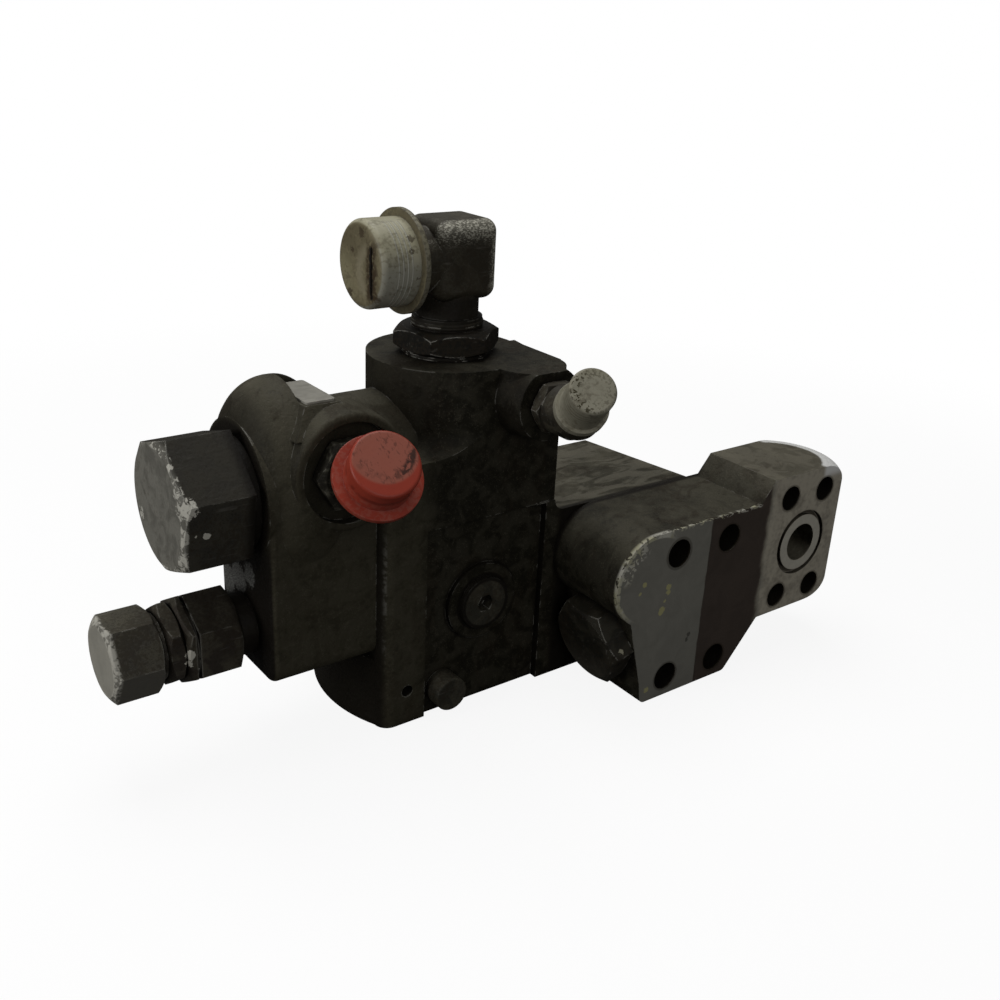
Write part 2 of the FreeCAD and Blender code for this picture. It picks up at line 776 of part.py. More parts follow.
solids["main_plug"] = make_main_plug()
solids["main_plug_seal"] = face_ring(main_ring_radius, main_ring_section, plug_face, left)
solids["main_seat"] = turned(
    [(main_seat_radius, 0), (main_bore_radius - running_gap, 0),
     (main_bore_radius - running_gap, main_seat_width),
     (main_seat_radius, main_seat_width)], at(main_seat_x, 0, bore_axis_z), x_axis)
solids["main_poppet"] = make_main_poppet()
solids["main_spring"] = spring(
    main_spring_radius, main_spring_wire,
    along(plug_face, left, main_spring_pocket - main_plug_shank),
    at(poppet_tip - poppet_length + poppet_pocket, 0, bore_axis_z), main_spring_turns)
solids["pilot_piston"] = make_pilot_piston()


def make_relief_body():
    """The body of the relief cartridge, with its seat at the inner end."""
    collar = along(relief_face, left, relief_collar)
    inner = along(relief_face, left, -relief_shank)
    body = fused(
        cylinder(relief_thread_radius - running_gap, relief_face, inner),
        cylinder(relief_collar_radius, relief_face, collar),
        hexagon(relief_hex_flats, relief_hex, collar, left, low=relief_hex_flats / 2 - hex_chamfer,
                high=relief_hex_flats / 2 - hex_chamfer),
    )
    hex_end = at(relief_nut_x, relief_y, relief_axis_z)
    groove_start = along(hex_end, left, -relief_groove_start)
    groove = cylinder(relief_hex_flats, groove_start, along(groove_start, left, -relief_groove)).cut(
        cylinder(relief_hex_flats / 2 - relief_groove_depth, groove_start,
                 along(groove_start, left, -relief_groove)))
    bore = cylinder(relief_bore_radius, along(inner, left, relief_seat_wall), hex_end)
    seat = cylinder(relief_seat_radius, inner, along(inner, left, relief_seat_wall))
    return cut(body, bore, seat, groove, ring_groove(relief_ring_radius, relief_ring_section, relief_face,
                                                     left))


def make_relief_poppet():
    """The small cone poppet, guided in the bore of the cartridge."""
    guide = relief_bore_radius - running_gap
    outline = [
        (0, 0),
        (relief_poppet_tip_radius, 0),
        (relief_poppet_cone, relief_poppet_cone - relief_poppet_tip_radius),
        (relief_poppet_cone, relief_poppet_length / 2),
        (guide, relief_poppet_length / 2),
        (guide, relief_poppet_length),
        (0, relief_poppet_length),
    ]
    return turned(outline, at(relief_tip, relief_y, relief_axis_z), left)


def make_relief_screw():
    """The adjusting screw with a slot in its outer end."""
    start = relief_tip - relief_poppet_length - relief_spring_length
    body = cylinder(relief_bore_radius - running_gap, at(start, relief_y, relief_axis_z),
                    at(relief_screw_end_x, relief_y, relief_axis_z))
    slot = block(relief_screw_end_x - 1, relief_screw_end_x + relief_slot_depth,
                 relief_y - relief_bore_radius,
                 relief_y + relief_bore_radius, relief_axis_z - relief_slot_width / 2,
                 relief_axis_z + relief_slot_width / 2)
    return cut(body, slot)


def make_relief_cap():
    """The hexagonal cap over the screw, with a round neck against the lock nut."""
    start = at(relief_nut_x - relief_nut, relief_y, relief_axis_z)
    neck = along(start, left, relief_neck)
    body = fused(
        cylinder(relief_neck_radius, start, neck),
        hexagon(relief_cap_flats, neck.x - relief_end_x, neck, left, relief_cap_turn,
                low=relief_cap_flats / 2 - hex_chamfer,
                high=relief_cap_flats / 2 - hex_chamfer),
    )
    return cut(body, cylinder(relief_bore_radius, start, at(relief_end_x + relief_cap_wall, relief_y,
                                                            relief_axis_z)))


relief_nut_start = at(relief_nut_x, relief_y, relief_axis_z)
relief_spring_start = at(relief_tip - relief_poppet_length, relief_y, relief_axis_z)
solids["relief_body"] = make_relief_body()
solids["relief_seal"] = face_ring(relief_ring_radius, relief_ring_section, relief_face, left)
solids["relief_poppet"] = make_relief_poppet()
solids["relief_spring"] = spring(relief_spring_radius, relief_spring_wire,
                                 along(relief_spring_start, left, relief_spring_length), relief_spring_start,
                                 relief_spring_turns)
solids["relief_screw"] = make_relief_screw()
solids["relief_lock_nut"] = hexagon(relief_nut_flats, relief_nut, relief_nut_start, left, relief_nut_turn,
                                    low=relief_nut_flats / 2 - hex_chamfer,
                                    high=relief_nut_flats / 2 - hex_chamfer).cut(
    cylinder(relief_bore_radius, relief_nut_start, along(relief_nut_start, left, relief_nut)))
solids["relief_cap"] = make_relief_cap()


def make_check_plug():
    """The round plug with a hexagon socket."""
    seat = at(0, check_front, check_axis_z)
    face = along(seat, front, check_plug_head)
    body = fused(
        cylinder(check_plug_radius, seat, face),
        cylinder(check_thread_radius - running_gap, seat, along(seat, front, -check_plug_shank)),
    )
    socket = hexagon(check_socket_flats, check_socket_depth, along(face, front, -check_socket_depth), front)
    return cut(body, socket, ring_groove(check_ring_radius, check_ring_section, seat, front))


check_seat = at(0, check_front, check_axis_z)
check_rise = math.sqrt(check_ball_radius ** 2 - check_seat_radius ** 2)
check_ball_y = check_seat_y - check_rise - seat_gap * check_ball_radius / check_rise
check_coil_reach = math.sqrt((check_ball_radius + check_spring_wire / 2) ** 2 - check_spring_radius ** 2)
solids["check_plug"] = make_check_plug()
solids["check_plug_seal"] = face_ring(check_ring_radius, check_ring_section, check_seat, front)
solids["check_ball"] = Part.makeSphere(check_ball_radius, at(0, check_ball_y, check_axis_z))
solids["check_spring"] = spring(
    check_spring_radius, check_spring_wire, along(check_seat, front, -check_plug_shank),
    at(0, check_ball_y - check_coil_reach + check_spring_wire / 2, check_axis_z), check_spring_turns)


def make_stub_plug():
    """The smooth round plug in the corner of the base."""
    seat = at(stub_x, recess_depth - block_half_depth, stub_z)
    head = cylinder(stub_radius, seat, along(seat, front, stub_head))
    head = rounded(head, stub_edge, lambda c, e: near(c.y, seat.y - stub_head))
    return fused(head, cylinder(stub_shank_radius - running_gap, seat, along(seat, front, -stub_shank)))


def make_cross_plug():
    """The hexagonal plug in the mouth of the cross drilling."""
    out = Vector(cross_direction).multiply(-1)
    body = fused(
        hexagon(cross_plug_flats, cross_plug_head, cross_seat, out, 30,
                high=cross_plug_flats / 2 - hex_chamfer),
        cylinder(cross_thread_radius - running_gap, cross_seat, along(cross_seat, out, -cross_plug_shank)),
    )
    return cut(body, ring_groove(cross_ring_radius, cross_ring_section, cross_seat, out))


def make_flange_screws():
    """The two long socket screws that hold the flange block against the arm."""
    screws = []
    for z in (screw_low_z, screw_high_z):
        seat = at(screw_x, arm_back - screw_sink, z)
        screw = fused(
            cylinder(screw_head_radius, seat, along(seat, y_axis, screw_head)),
            cylinder(screw_radius - running_gap, seat, at(screw_x, seam_y - screw_grip, z)),
        )
        socket = hexagon(screw_socket_flats, screw_head / 2, along(seat, y_axis, screw_head / 2), y_axis)
        screws.append(cut(screw, socket))
    return Part.makeCompound(screws)


solids["stub_plug"] = make_stub_plug()
solids["cross_plug"] = make_cross_plug()
solids["cross_plug_seal"] = face_ring(cross_ring_radius, cross_ring_section, cross_seat,
                                      Vector(cross_direction).multiply(-1))
solids["flange_seal"] = face_ring(seam_ring_radius, seam_ring_section, at(mount_x, seam_y, mount_z), front)
solids["flange_screws"] = make_flange_screws()

washer_top = boss_top + washer_height
top_cap_inner = top_cap_radius - top_cap_wall
elbow_end_x = top_cap_end_x + top_cap_wall + seat_gap
top_ring_radius = top_thread_radius - top_ring_section - groove_gap
top_ring_z = boss_top - top_ring_section - groove_gap


def make_top_elbow():
    """The elbow: a forged block on a threaded neck, with a round leg that points to -X."""
    body = block(elbow_left, elbow_right, -elbow_half_depth, elbow_half_depth, elbow_bottom, elbow_top)
    body = rounded(body, elbow_round, lambda c, e: True)
    body = fused(
        body,
        cylinder(top_neck_radius, at(0, 0, top_neck_start), at(0, 0, elbow_leg_z)),
        cylinder(top_thread_radius - running_gap, at(0, 0, boss_top - top_shank), at(0, 0, top_neck_start)),
        cylinder(elbow_leg_radius, at(0, 0, elbow_leg_z), at(elbow_thread_x, 0, elbow_leg_z)),
        cylinder(top_cap_inner - cap_gap, at(elbow_thread_x, 0, elbow_leg_z),
                 at(elbow_end_x, 0, elbow_leg_z)),
    )
    groove = cylinder(top_thread_radius, at(0, 0, top_ring_z - top_ring_section - groove_gap),
                      at(0, 0, boss_top))
    groove = groove.cut(cylinder(top_ring_radius - top_ring_section - groove_gap,
                                 at(0, 0, boss_top - top_shank),
                                 at(0, 0, boss_top)))
    return cut(
        body, groove,
        cylinder(elbow_bore_radius, at(0, 0, boss_top - top_shank), at(0, 0, elbow_leg_z)),
        cylinder(elbow_bore_radius, at(elbow_end_x, 0, elbow_leg_z), at(0, 0, elbow_leg_z)),
        Part.makeSphere(elbow_bore_radius, at(0, 0, elbow_leg_z)),
    )


def make_cap(radius, wall, flange_radius, flange, length, end_round, start, direction):
    """A thin plastic cap with a flange at its open end and a rounded closed end."""
    outline = [
        (radius - wall, 0),
        (flange_radius, 0),
        (flange_radius, flange),
        (radius, flange),
        (radius, length),
        (0, length),
        (0, length - wall),
        (radius - wall, length - wall),
    ]
    cap = rounded(turned(outline, origin, z_axis), end_round, lambda c, e: near(c.z, length))
    return placed(cap, start, direction)


solids["top_elbow"] = make_top_elbow()
solids["top_washer"] = cylinder(washer_radius, at(0, 0, boss_top), at(0, 0, washer_top)).cut(
    cylinder(top_thread_radius, at(0, 0, boss_top), at(0, 0, washer_top)))
solids["top_lock_nut"] = hexagon(lock_nut_flats, lock_nut_height, at(0, 0, washer_top), z_axis, lock_nut_turn,
                                 low=lock_nut_flats / 2 - hex_chamfer,
                                 high=lock_nut_flats / 2 - hex_chamfer).cut(
    cylinder(top_thread_radius, at(0, 0, washer_top), at(0, 0, washer_top + lock_nut_height)))
solids["top_seal"] = ring(top_ring_radius, top_ring_section, at(0, 0, top_ring_z), z_axis)
solids["top_cap"] = make_cap(top_cap_radius, top_cap_wall, top_cap_flange_radius, top_cap_flange,
                             top_cap_start_x - top_cap_end_x, top_cap_round,
                             at(top_cap_start_x, 0, elbow_leg_z), left).cut(
    block(top_cap_end_x - 1, top_cap_end_x + top_cap_slot_depth, top_cap_slot_y - top_cap_slot_width / 2,
          top_cap_slot_y + top_cap_slot_width / 2, top_cap_slot_low, top_cap_slot_high))


def make_fitting(name, face, turn, nut_flats, nut, leg, leg_radius, cap_start, cap_radius, cap_length,
                 cap_flange_radius, cap_flange):
    """A small 45 degree elbow with its lock nut, its seal ring and its plastic cap."""
    nut_end = along(face, front, nut)
    bend = along(face, front, leg)
    direction = bent(turn)
    start = along(bend, direction, cap_start)
    end = along(start, direction, cap_length - fitting_cap_wall - seat_gap)
    inner = along(face, front, -fitting_shank)
    ring_radius = fitting_thread_radius - fitting_ring_section - groove_gap
    ring_middle = along(face, front, -fitting_ring_section - groove_gap)
    elbow = fused(
        cylinder(fitting_thread_radius - running_gap, inner, nut_end),
        cylinder(leg_radius, nut_end, bend),
        Part.makeSphere(leg_radius, bend),
        cylinder(leg_radius, bend, start),
        cylinder(cap_radius - fitting_cap_wall - cap_gap, start, end),
    )
    groove_end = along(ring_middle, front, -fitting_ring_section - groove_gap)
    groove = cylinder(fitting_thread_radius, groove_end, face)
    groove = groove.cut(cylinder(ring_radius - fitting_ring_section - groove_gap, inner, face))
    solids[name + "_elbow"] = cut(
        elbow, groove,
        cylinder(fitting_bore_radius, inner, bend),
        cylinder(fitting_bore_radius, bend, end),
        Part.makeSphere(fitting_bore_radius, bend),
    )
    solids[name + "_lock_nut"] = hexagon(nut_flats, nut, face, front, low=nut_flats / 2 - hex_chamfer,
                                         high=nut_flats / 2 - hex_chamfer).cut(
        cylinder(fitting_thread_radius, face, nut_end))
    solids[name + "_seal"] = ring(ring_radius, fitting_ring_section, ring_middle, front)
    solids[name + "_cap"] = make_cap(cap_radius, fitting_cap_wall, cap_flange_radius, cap_flange, cap_length,
                                     fitting_cap_round, start, direction)


make_fitting("drain", at(drain_x, skirt_front, drain_z), drain_turn, drain_nut_flats, drain_nut, drain_leg,
             drain_leg_radius,
             drain_cap_start, drain_cap_radius, drain_cap_length, drain_cap_flange_radius, drain_cap_flange)
make_fitting("pilot", at(pilot_x, lug_front, pilot_z), pilot_turn, pilot_nut_flats, pilot_nut, pilot_leg,
             pilot_leg_radius,
             pilot_cap_start, pilot_cap_radius, pilot_cap_length, pilot_cap_flange_radius, pilot_cap_flange)

os.makedirs("parts", exist_ok=True)
for name, shape in solids.items():
    if not shape.isValid() or not shape.Solids:
        raise ValueError(name + " isn't a valid solid")
    shape.exportStep("parts/" + name + ".step")
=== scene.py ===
"""Looks, camera and light for the hose rupture valve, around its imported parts."""
import math

import bpy
from bpy.props import FloatProperty, FloatVectorProperty, PointerProperty
from mathutils import Matrix, Vector


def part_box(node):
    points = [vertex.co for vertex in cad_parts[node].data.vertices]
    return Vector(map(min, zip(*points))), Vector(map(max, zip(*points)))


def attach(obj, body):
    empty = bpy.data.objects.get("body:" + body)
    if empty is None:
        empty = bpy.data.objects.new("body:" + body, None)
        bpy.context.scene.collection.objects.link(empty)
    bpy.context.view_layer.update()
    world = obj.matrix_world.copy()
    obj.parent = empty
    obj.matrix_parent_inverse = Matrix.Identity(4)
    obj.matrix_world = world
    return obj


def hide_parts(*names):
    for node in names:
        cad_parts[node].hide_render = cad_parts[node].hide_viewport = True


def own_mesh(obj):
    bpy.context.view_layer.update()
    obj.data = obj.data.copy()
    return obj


bl_info = {
    "name": "Hose rupture valve",
    "version": (1, 0, 0),
    "blender": (4, 5, 0),
    "location": "3D View > Sidebar > Valve",
    "description": "Finishes the pieces of a hose rupture valve and sets its camera and light",
    "category": "Object",
}

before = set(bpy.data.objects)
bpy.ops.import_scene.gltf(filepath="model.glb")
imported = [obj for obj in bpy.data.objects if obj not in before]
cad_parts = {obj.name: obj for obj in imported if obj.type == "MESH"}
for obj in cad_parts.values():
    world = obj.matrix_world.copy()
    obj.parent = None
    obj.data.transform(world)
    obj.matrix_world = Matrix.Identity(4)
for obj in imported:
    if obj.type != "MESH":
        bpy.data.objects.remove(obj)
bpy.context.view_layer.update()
MM = 0.001
RAYS = 6  # samples of each bevel and corner shade
MIX_INPUTS, MIX_RESULT = (0, 6, 7), 2  # share, both colours and result of a Mix node in colour mode

# Places on the valve in millimetres, as the frame has them.
MAIN_AXIS = 122.5  # height of the main bore
COLLAR_FACE = -113.0  # X of the large plug's collar
BARREL_END = -109.0  # X of the barrel's end
RELIEF_AXIS = 59.1  # height of the relief cartridge
RELIEF_FORWARD = 3.0  # how far its axis stands in front of the main bore
FRONT = -87.7  # Y of the two flange faces
PIPE_PORT = (177.0, FRONT, 64.4)
PAD_END = (177.2, -64.35, 106.0)
ARC_CENTRE = (67.0, FRONT, 70.0)
CHECK_PLUG_EDGE = (0.0, -37.5, 55.0)
CHECK_PLUG_END = (0.0, -40.5, 55.0)
CAP_SLOT = (-47.0, -9.8, 214.3)
PILOT_CAP_END = (9.5, -95.3, 177.5)
DRAIN_CAP_END = (-76.3, -71.7, 161.6)
PILOT_LEG = (-0.3642, -0.7071, 0.6061)  # the way that the pilot fitting points

# Spots as X, Y, Z and radius in millimetres.
SCUFFED_PLACES = ((BARREL_END, 14.0, 74.5, 7.5), (BARREL_END, 2.0, 80.0, 7.5), (BARREL_END, -10.0, 86.0, 5.5))
YELLOW_SPECKS = ((60.4, FRONT, 69.5, 1.3), (57.7, FRONT, 64.8, 1.0), (77.3, FRONT, 63.8, 1.7),
                 (77.6, FRONT, 61.0, 1.5), (74.4, FRONT, 51.8, 2.0), (73.6, FRONT, 50.4, 1.5),
                 (75.6, FRONT, 56.6, 0.8), (69.5, FRONT, 6.9, 1.5))
FACE_SCRATCHES = ((96.0, FRONT, 31.5, 1.3), (95.2, FRONT, 28.5, 1.1))
CROSS_KNOCKS = ((46.1, -86.0, 38.1, 1.6), (43.9, -86.0, 34.2, 1.4), (51.2, -86.0, 34.2, 1.3),
                (45.1, -86.0, 29.3, 1.8), (42.7, -86.0, 21.5, 1.2))
CAP_SMUDGES = ((-30.5, -15.0, 229.0, 1.8), (-31.5, -17.5, 224.0, 1.3), (-29.0, -18.0, 213.0, 1.6),
               (-47.0, 8.5, 203.0, 2.0), (-47.0, 6.0, 222.0, 1.3), (-46.5, -1.5, 230.5, 2.2))

# Screw holes of the front as X, Z and reach of the stain and painted shade round them in millimetres.
SCREW_HOLES = ((82.25, 11.05, 8.3), (82.25, 80.95, 8.8), (117.95, 11.05, 8.3), (117.95, 80.95, 8.3),
               (163.1, 35.8, 7.6), (163.1, 93.0, 7.6), (190.9, 35.8, 7.6), (190.9, 93.0, 7.6))

# Springs: node, joint that presses it, axis, place of the end that stays and stroke in millimetres.
SPRINGS = (("main_spring", "main_poppet_slide", 0, -101.0, 6.0),
           ("relief_spring", "relief_poppet_slide", 0, -115.2, 2.1),
           ("check_spring", "check_ball_slide", 1, -31.5, 2.7))

# Tints that one place of one finish has.
END_RIM = (0.5, 0.49, 0.44)
ARM_SMEAR = (0.21, 0.195, 0.15)
SCUFF = (0.22, 0.22, 0.205)
PAD_TOP = (0.25, 0.23, 0.175)
GREY_CLOUD = (0.135, 0.13, 0.112)
BROWN_CLOUD = (0.045, 0.036, 0.03)
PORT_RING = (0.62, 0.6, 0.52)
PAD_LINE = (0.4, 0.38, 0.32)
CHIP_CLOUD = (0.52, 0.5, 0.34)
PLUG_TOP_SHADE = (0.026, 0.023, 0.016)
PLUG_BORDER = (0.66, 0.64, 0.56)
CARTRIDGE = (0.04, 0.033, 0.026)
RELIEF_CAP = (0.07, 0.064, 0.052)
CAP_FACE = (0.5, 0.48, 0.41)
CAP_UNDER_LIGHT = (0.22, 0.21, 0.18)
CAP_FRONT_SHADE = (0.03, 0.024, 0.018)
CAP_RIM = (0.64, 0.62, 0.54)
LOW_PLUG = (0.042, 0.04, 0.03)
CROSS_PLUG = (0.015, 0.014, 0.01)
CROSS_FRONT = (0.05, 0.046, 0.034)
CROSS_LOW = (0.1, 0.095, 0.08)
CROSS_BRIGHT = (0.42, 0.4, 0.29)
ELBOW = (0.046, 0.041, 0.029)
ELBOW_TOP = (0.2, 0.19, 0.155)
ELBOW_WORN = (0.62, 0.6, 0.5)
LOCK_NUT = (0.0075, 0.007, 0.005)
SMALL_FITTING = (0.03, 0.027, 0.02)
CRUST = (0.2, 0.19, 0.145)
THREAD = (0.02, 0.018, 0.013)
MILKY_CLOUD = (0.3, 0.28, 0.205)
MILKY_PILOT = (0.2, 0.185, 0.135)
MILKY_UNDER_SHADE = (0.25, 0.26, 0.235)
MILKY_SIDE = (0.46, 0.43, 0.26)
MILKY_END = (0.152, 0.121, 0.055)
MILKY_PALE = (0.4, 0.37, 0.22)
MILKY_STREAK = (0.34, 0.3, 0.18)
MILKY_RINGS = (0.66, 0.66, 0.58)
MILKY_GRIME = (0.085, 0.066, 0.036)
MILKY_TURNED = (0.1, 0.085, 0.05)
MILKY_CRESCENT = (0.38, 0.34, 0.23)
MILKY_SMEAR = (0.05, 0.03, 0.013)
MILKY_MUD = (0.06, 0.038, 0.018)
MILKY_SMUDGE = (0.06, 0.04, 0.022)
MILKY_FLANGE = (0.12, 0.105, 0.068)
MILKY_CORNER_SHADE = (0.07, 0.056, 0.032)
MILKY_SPECKLE = (0.045, 0.035, 0.012)
RED_CLOUD = (0.3, 0.036, 0.02)
RED_MARKS = (0.1, 0.03, 0.02)
RED_RIM = (0.035, 0.014, 0.009)
RED_ROOT = (0.16, 0.02, 0.01)
RED_LIP = (0.42, 0.2, 0.15)
RED_CORNER_SHADE = (0.1, 0.012, 0.007)
TURNED_STEEL = (0.32, 0.31, 0.3)
RUBBER_GRAIN = (0.03, 0.029, 0.028)
OXIDE = (0.02, 0.02, 0.02)
OXIDE_HAZE = (0.05, 0.047, 0.042)
WIRE = (0.2, 0.2, 0.19)
WIRE_STREAK = (0.1, 0.095, 0.085)


def colour(name, text, value):
    """A colour setting."""
    return FloatVectorProperty(name=name, description=text, default=value, subtype="COLOR", size=3,
                               min=0, max=1)


def length(name, text, value):
    """A length setting in metres."""
    return FloatProperty(name=name, description=text, default=value, unit="LENGTH", precision=5)


def number(name, text, value, **limits):
    """A setting without a unit."""
    return FloatProperty(name=name, description=text, default=value, **limits)


class ValveColours(bpy.types.PropertyGroup):
    """Colours of the finishes."""

    casting: colour("Casting", "Dark paint of the main casting", (0.049, 0.044, 0.028))
    oily: colour("Oily casting", "Casting that is wet with oil", (0.014, 0.0125, 0.0075))
    rubbed: colour("Rubbed casting", "Thin and rubbed places of the dark paint", (0.084, 0.076, 0.054))
    dust: colour("Dust", "Dust and oxide on faces that look up", (0.112, 0.103, 0.074))
    bare: colour("Bare iron", "Iron where the paint is worn off", (0.40, 0.39, 0.35))
    grey: colour("Grey paint", "Paint on the left of the flange face", (0.250, 0.242, 0.210))
    brown: colour("Brown paint", "Older paint in the middle of the flange face", (0.082, 0.064, 0.052))
    pad: colour("Machined pad", "Machined face of the pipe pad", (0.50, 0.46, 0.37))
    steel: colour("Plug paint", "Paint of plugs, nuts and fittings", (0.044, 0.041, 0.033))
    worn: colour("Worn end", "Rubbed ends of the hexagons", (0.30, 0.29, 0.25))
    chip: colour("Pale chip", "Pale chips and paint drops", (0.62, 0.60, 0.52))
    yellow: colour("Yellow speck", "Yellow paint specks", (0.46, 0.43, 0.21))
    milky: colour("Milky plastic", "Clouded plastic of two caps", (0.50, 0.48, 0.375))
    red: colour("Red plastic", "Plastic of the drain cap", (0.385, 0.052, 0.028))
    faded: colour("Faded red plastic", "Bleached end of the red cap", (0.37, 0.118, 0.078))
    # Oily dirt, and the same dark colour laid as painted shade in corners, gaps and on shaded faces.
    dirt_and_shade: colour("Dirt", "Oily dirt in corners", (0.008, 0.006, 0.004))
    stain: colour("Stain", "Brown oil stains", (0.026, 0.018, 0.010))
    plate: colour("Plate", "Bare metal of the plate", (0.40, 0.385, 0.335))
    rubber: colour("Rubber", "Seal rings", (0.014, 0.014, 0.014))
    bright: colour("Hardened steel", "Poppets, seats and piston", (0.50, 0.49, 0.47))
    # Painted highlight over the pad's rounded end.
    band: colour("Pale band", "Pale band over the pad's rounded end", (0.93, 0.93, 0.90))


class ValveDetails(bpy.types.PropertyGroup):
    """Sizes of the pieces that are added to the frame."""

    thread_pitch: length("Thread pitch", "Rise of one turn of the elbow's thread", 2.0 * MM)
    thread_height: length("Thread height", "How far a crest stands out", 0.55 * MM)
    thread_top: length("Thread top", "Height where the thread runs out", 189.8 * MM)
    plug_flats: length("Plug flats", "Width of the large plug's hexagon across its flats", 55.4 * MM)
    plug_end: length("Plug end", "Place of the large plug's end", -144.2 * MM)
    plug_turn: number("Plug turn", "Angle of a corner of the large plug's hexagon in degrees", 161.8)
    edge_width: length("Edge wear", "Width of worn edges", 1.1 * MM)
    grain: number("Casting grain", "Grains per metre of the cast skin", 420.0, min=10)


class ValveStage(bpy.types.PropertyGroup):
    """Camera and light."""

    camera_place: FloatVectorProperty(name="Camera place", description="Where the camera stands",
                                      default=(-0.2936, -0.4267, 0.3150), subtype="TRANSLATION",
                                      size=3, precision=5)
    lens: number("Lens", "Focal length in millimetres on a 36 mm sensor", 40.32)
    sky: number("Sky light", "Strength of the even light", 0.10, min=0)
    key: number("Key light", "Power of the large lamp above", 5.2, min=0)
    side: number("Side light", "Power of the lamp on the left", 3.2, min=0)
    fill: number("Front light", "Power of the weak lamp in front", 1.9, min=0)
    floor: number("Floor", "Brightness of the floor and backdrop", 1.0, min=0)


def settings(kind):
    """The settings of one kind on the scene."""
    return getattr(bpy.context.scene, "valve_" + kind)


class Value:
    """A number in a material that Python's operators can work on."""

    def __init__(self, finish, socket):
        self.finish = finish
        self.socket = socket

    def maths(self, operation, *others):
        """A Math node on this value and the others."""
        made = self.finish.node("Math", [self, *others], operation=operation)
        return Value(self.finish, made.outputs[0])

    def __add__(self, other):
        return self.maths("ADD", other)

    __radd__ = __add__

    def __mul__(self, other):
        return self.maths("MULTIPLY", other)

    __rmul__ = __mul__

    def __sub__(self, other):
        return self.maths("SUBTRACT", other)

    def __rsub__(self, other):
        return (self * -1.0) + other

    def __truediv__(self, other):
        return self.maths("DIVIDE", other)

    def __pow__(self, other):
        return self.maths("POWER", other)

    def sine(self):
        """The sine of this value in radians."""
        return self.maths("SINE")

    def high(self, other):
        """The larger of two values."""
        return self.maths("MAXIMUM", other)

    def low(self, other):
        """The smaller of two values."""
        return self.maths("MINIMUM", other)

    def step(self, start, end):
        """0 below start, 1 above end and smooth between; start may be above end."""
        made = self.finish.node("MapRange", {"Value": self, "From Min": start, "From Max": end,
                                             "To Min": 0.0, "To Max": 1.0}, interpolation_type="SMOOTHSTEP")
        return Value(self.finish, made.outputs[0])

    def band(self, start, end, soft):
        """1 between start and end, 0 outside, with soft edges."""
        return self.step(start - soft, start + soft) * self.step(end + soft, end - soft)


def span(first, second):
    """The length of two values that stand at right angles."""
    return (first ** 2.0 + second ** 2.0) ** 0.5


class Tree:
    """A node tree that grows by one method."""

    def __init__(self, tree):
        self.tree = tree

    def node(self, kind, inputs=(), **options):
        """A shader node of a kind, with the values or links of its sockets and with its settings."""
        made = self.tree.nodes.new("ShaderNode" + kind)
        for name, value in options.items():
            setattr(made, name, value)
        for key, value in inputs.items() if isinstance(inputs, dict) else enumerate(inputs):
            if isinstance(value, Value):
                value = value.socket
            if isinstance(value, bpy.types.NodeSocket):
                self.tree.links.new(value, made.inputs[key])
            else:
                made.inputs[key].default_value = value
        return made


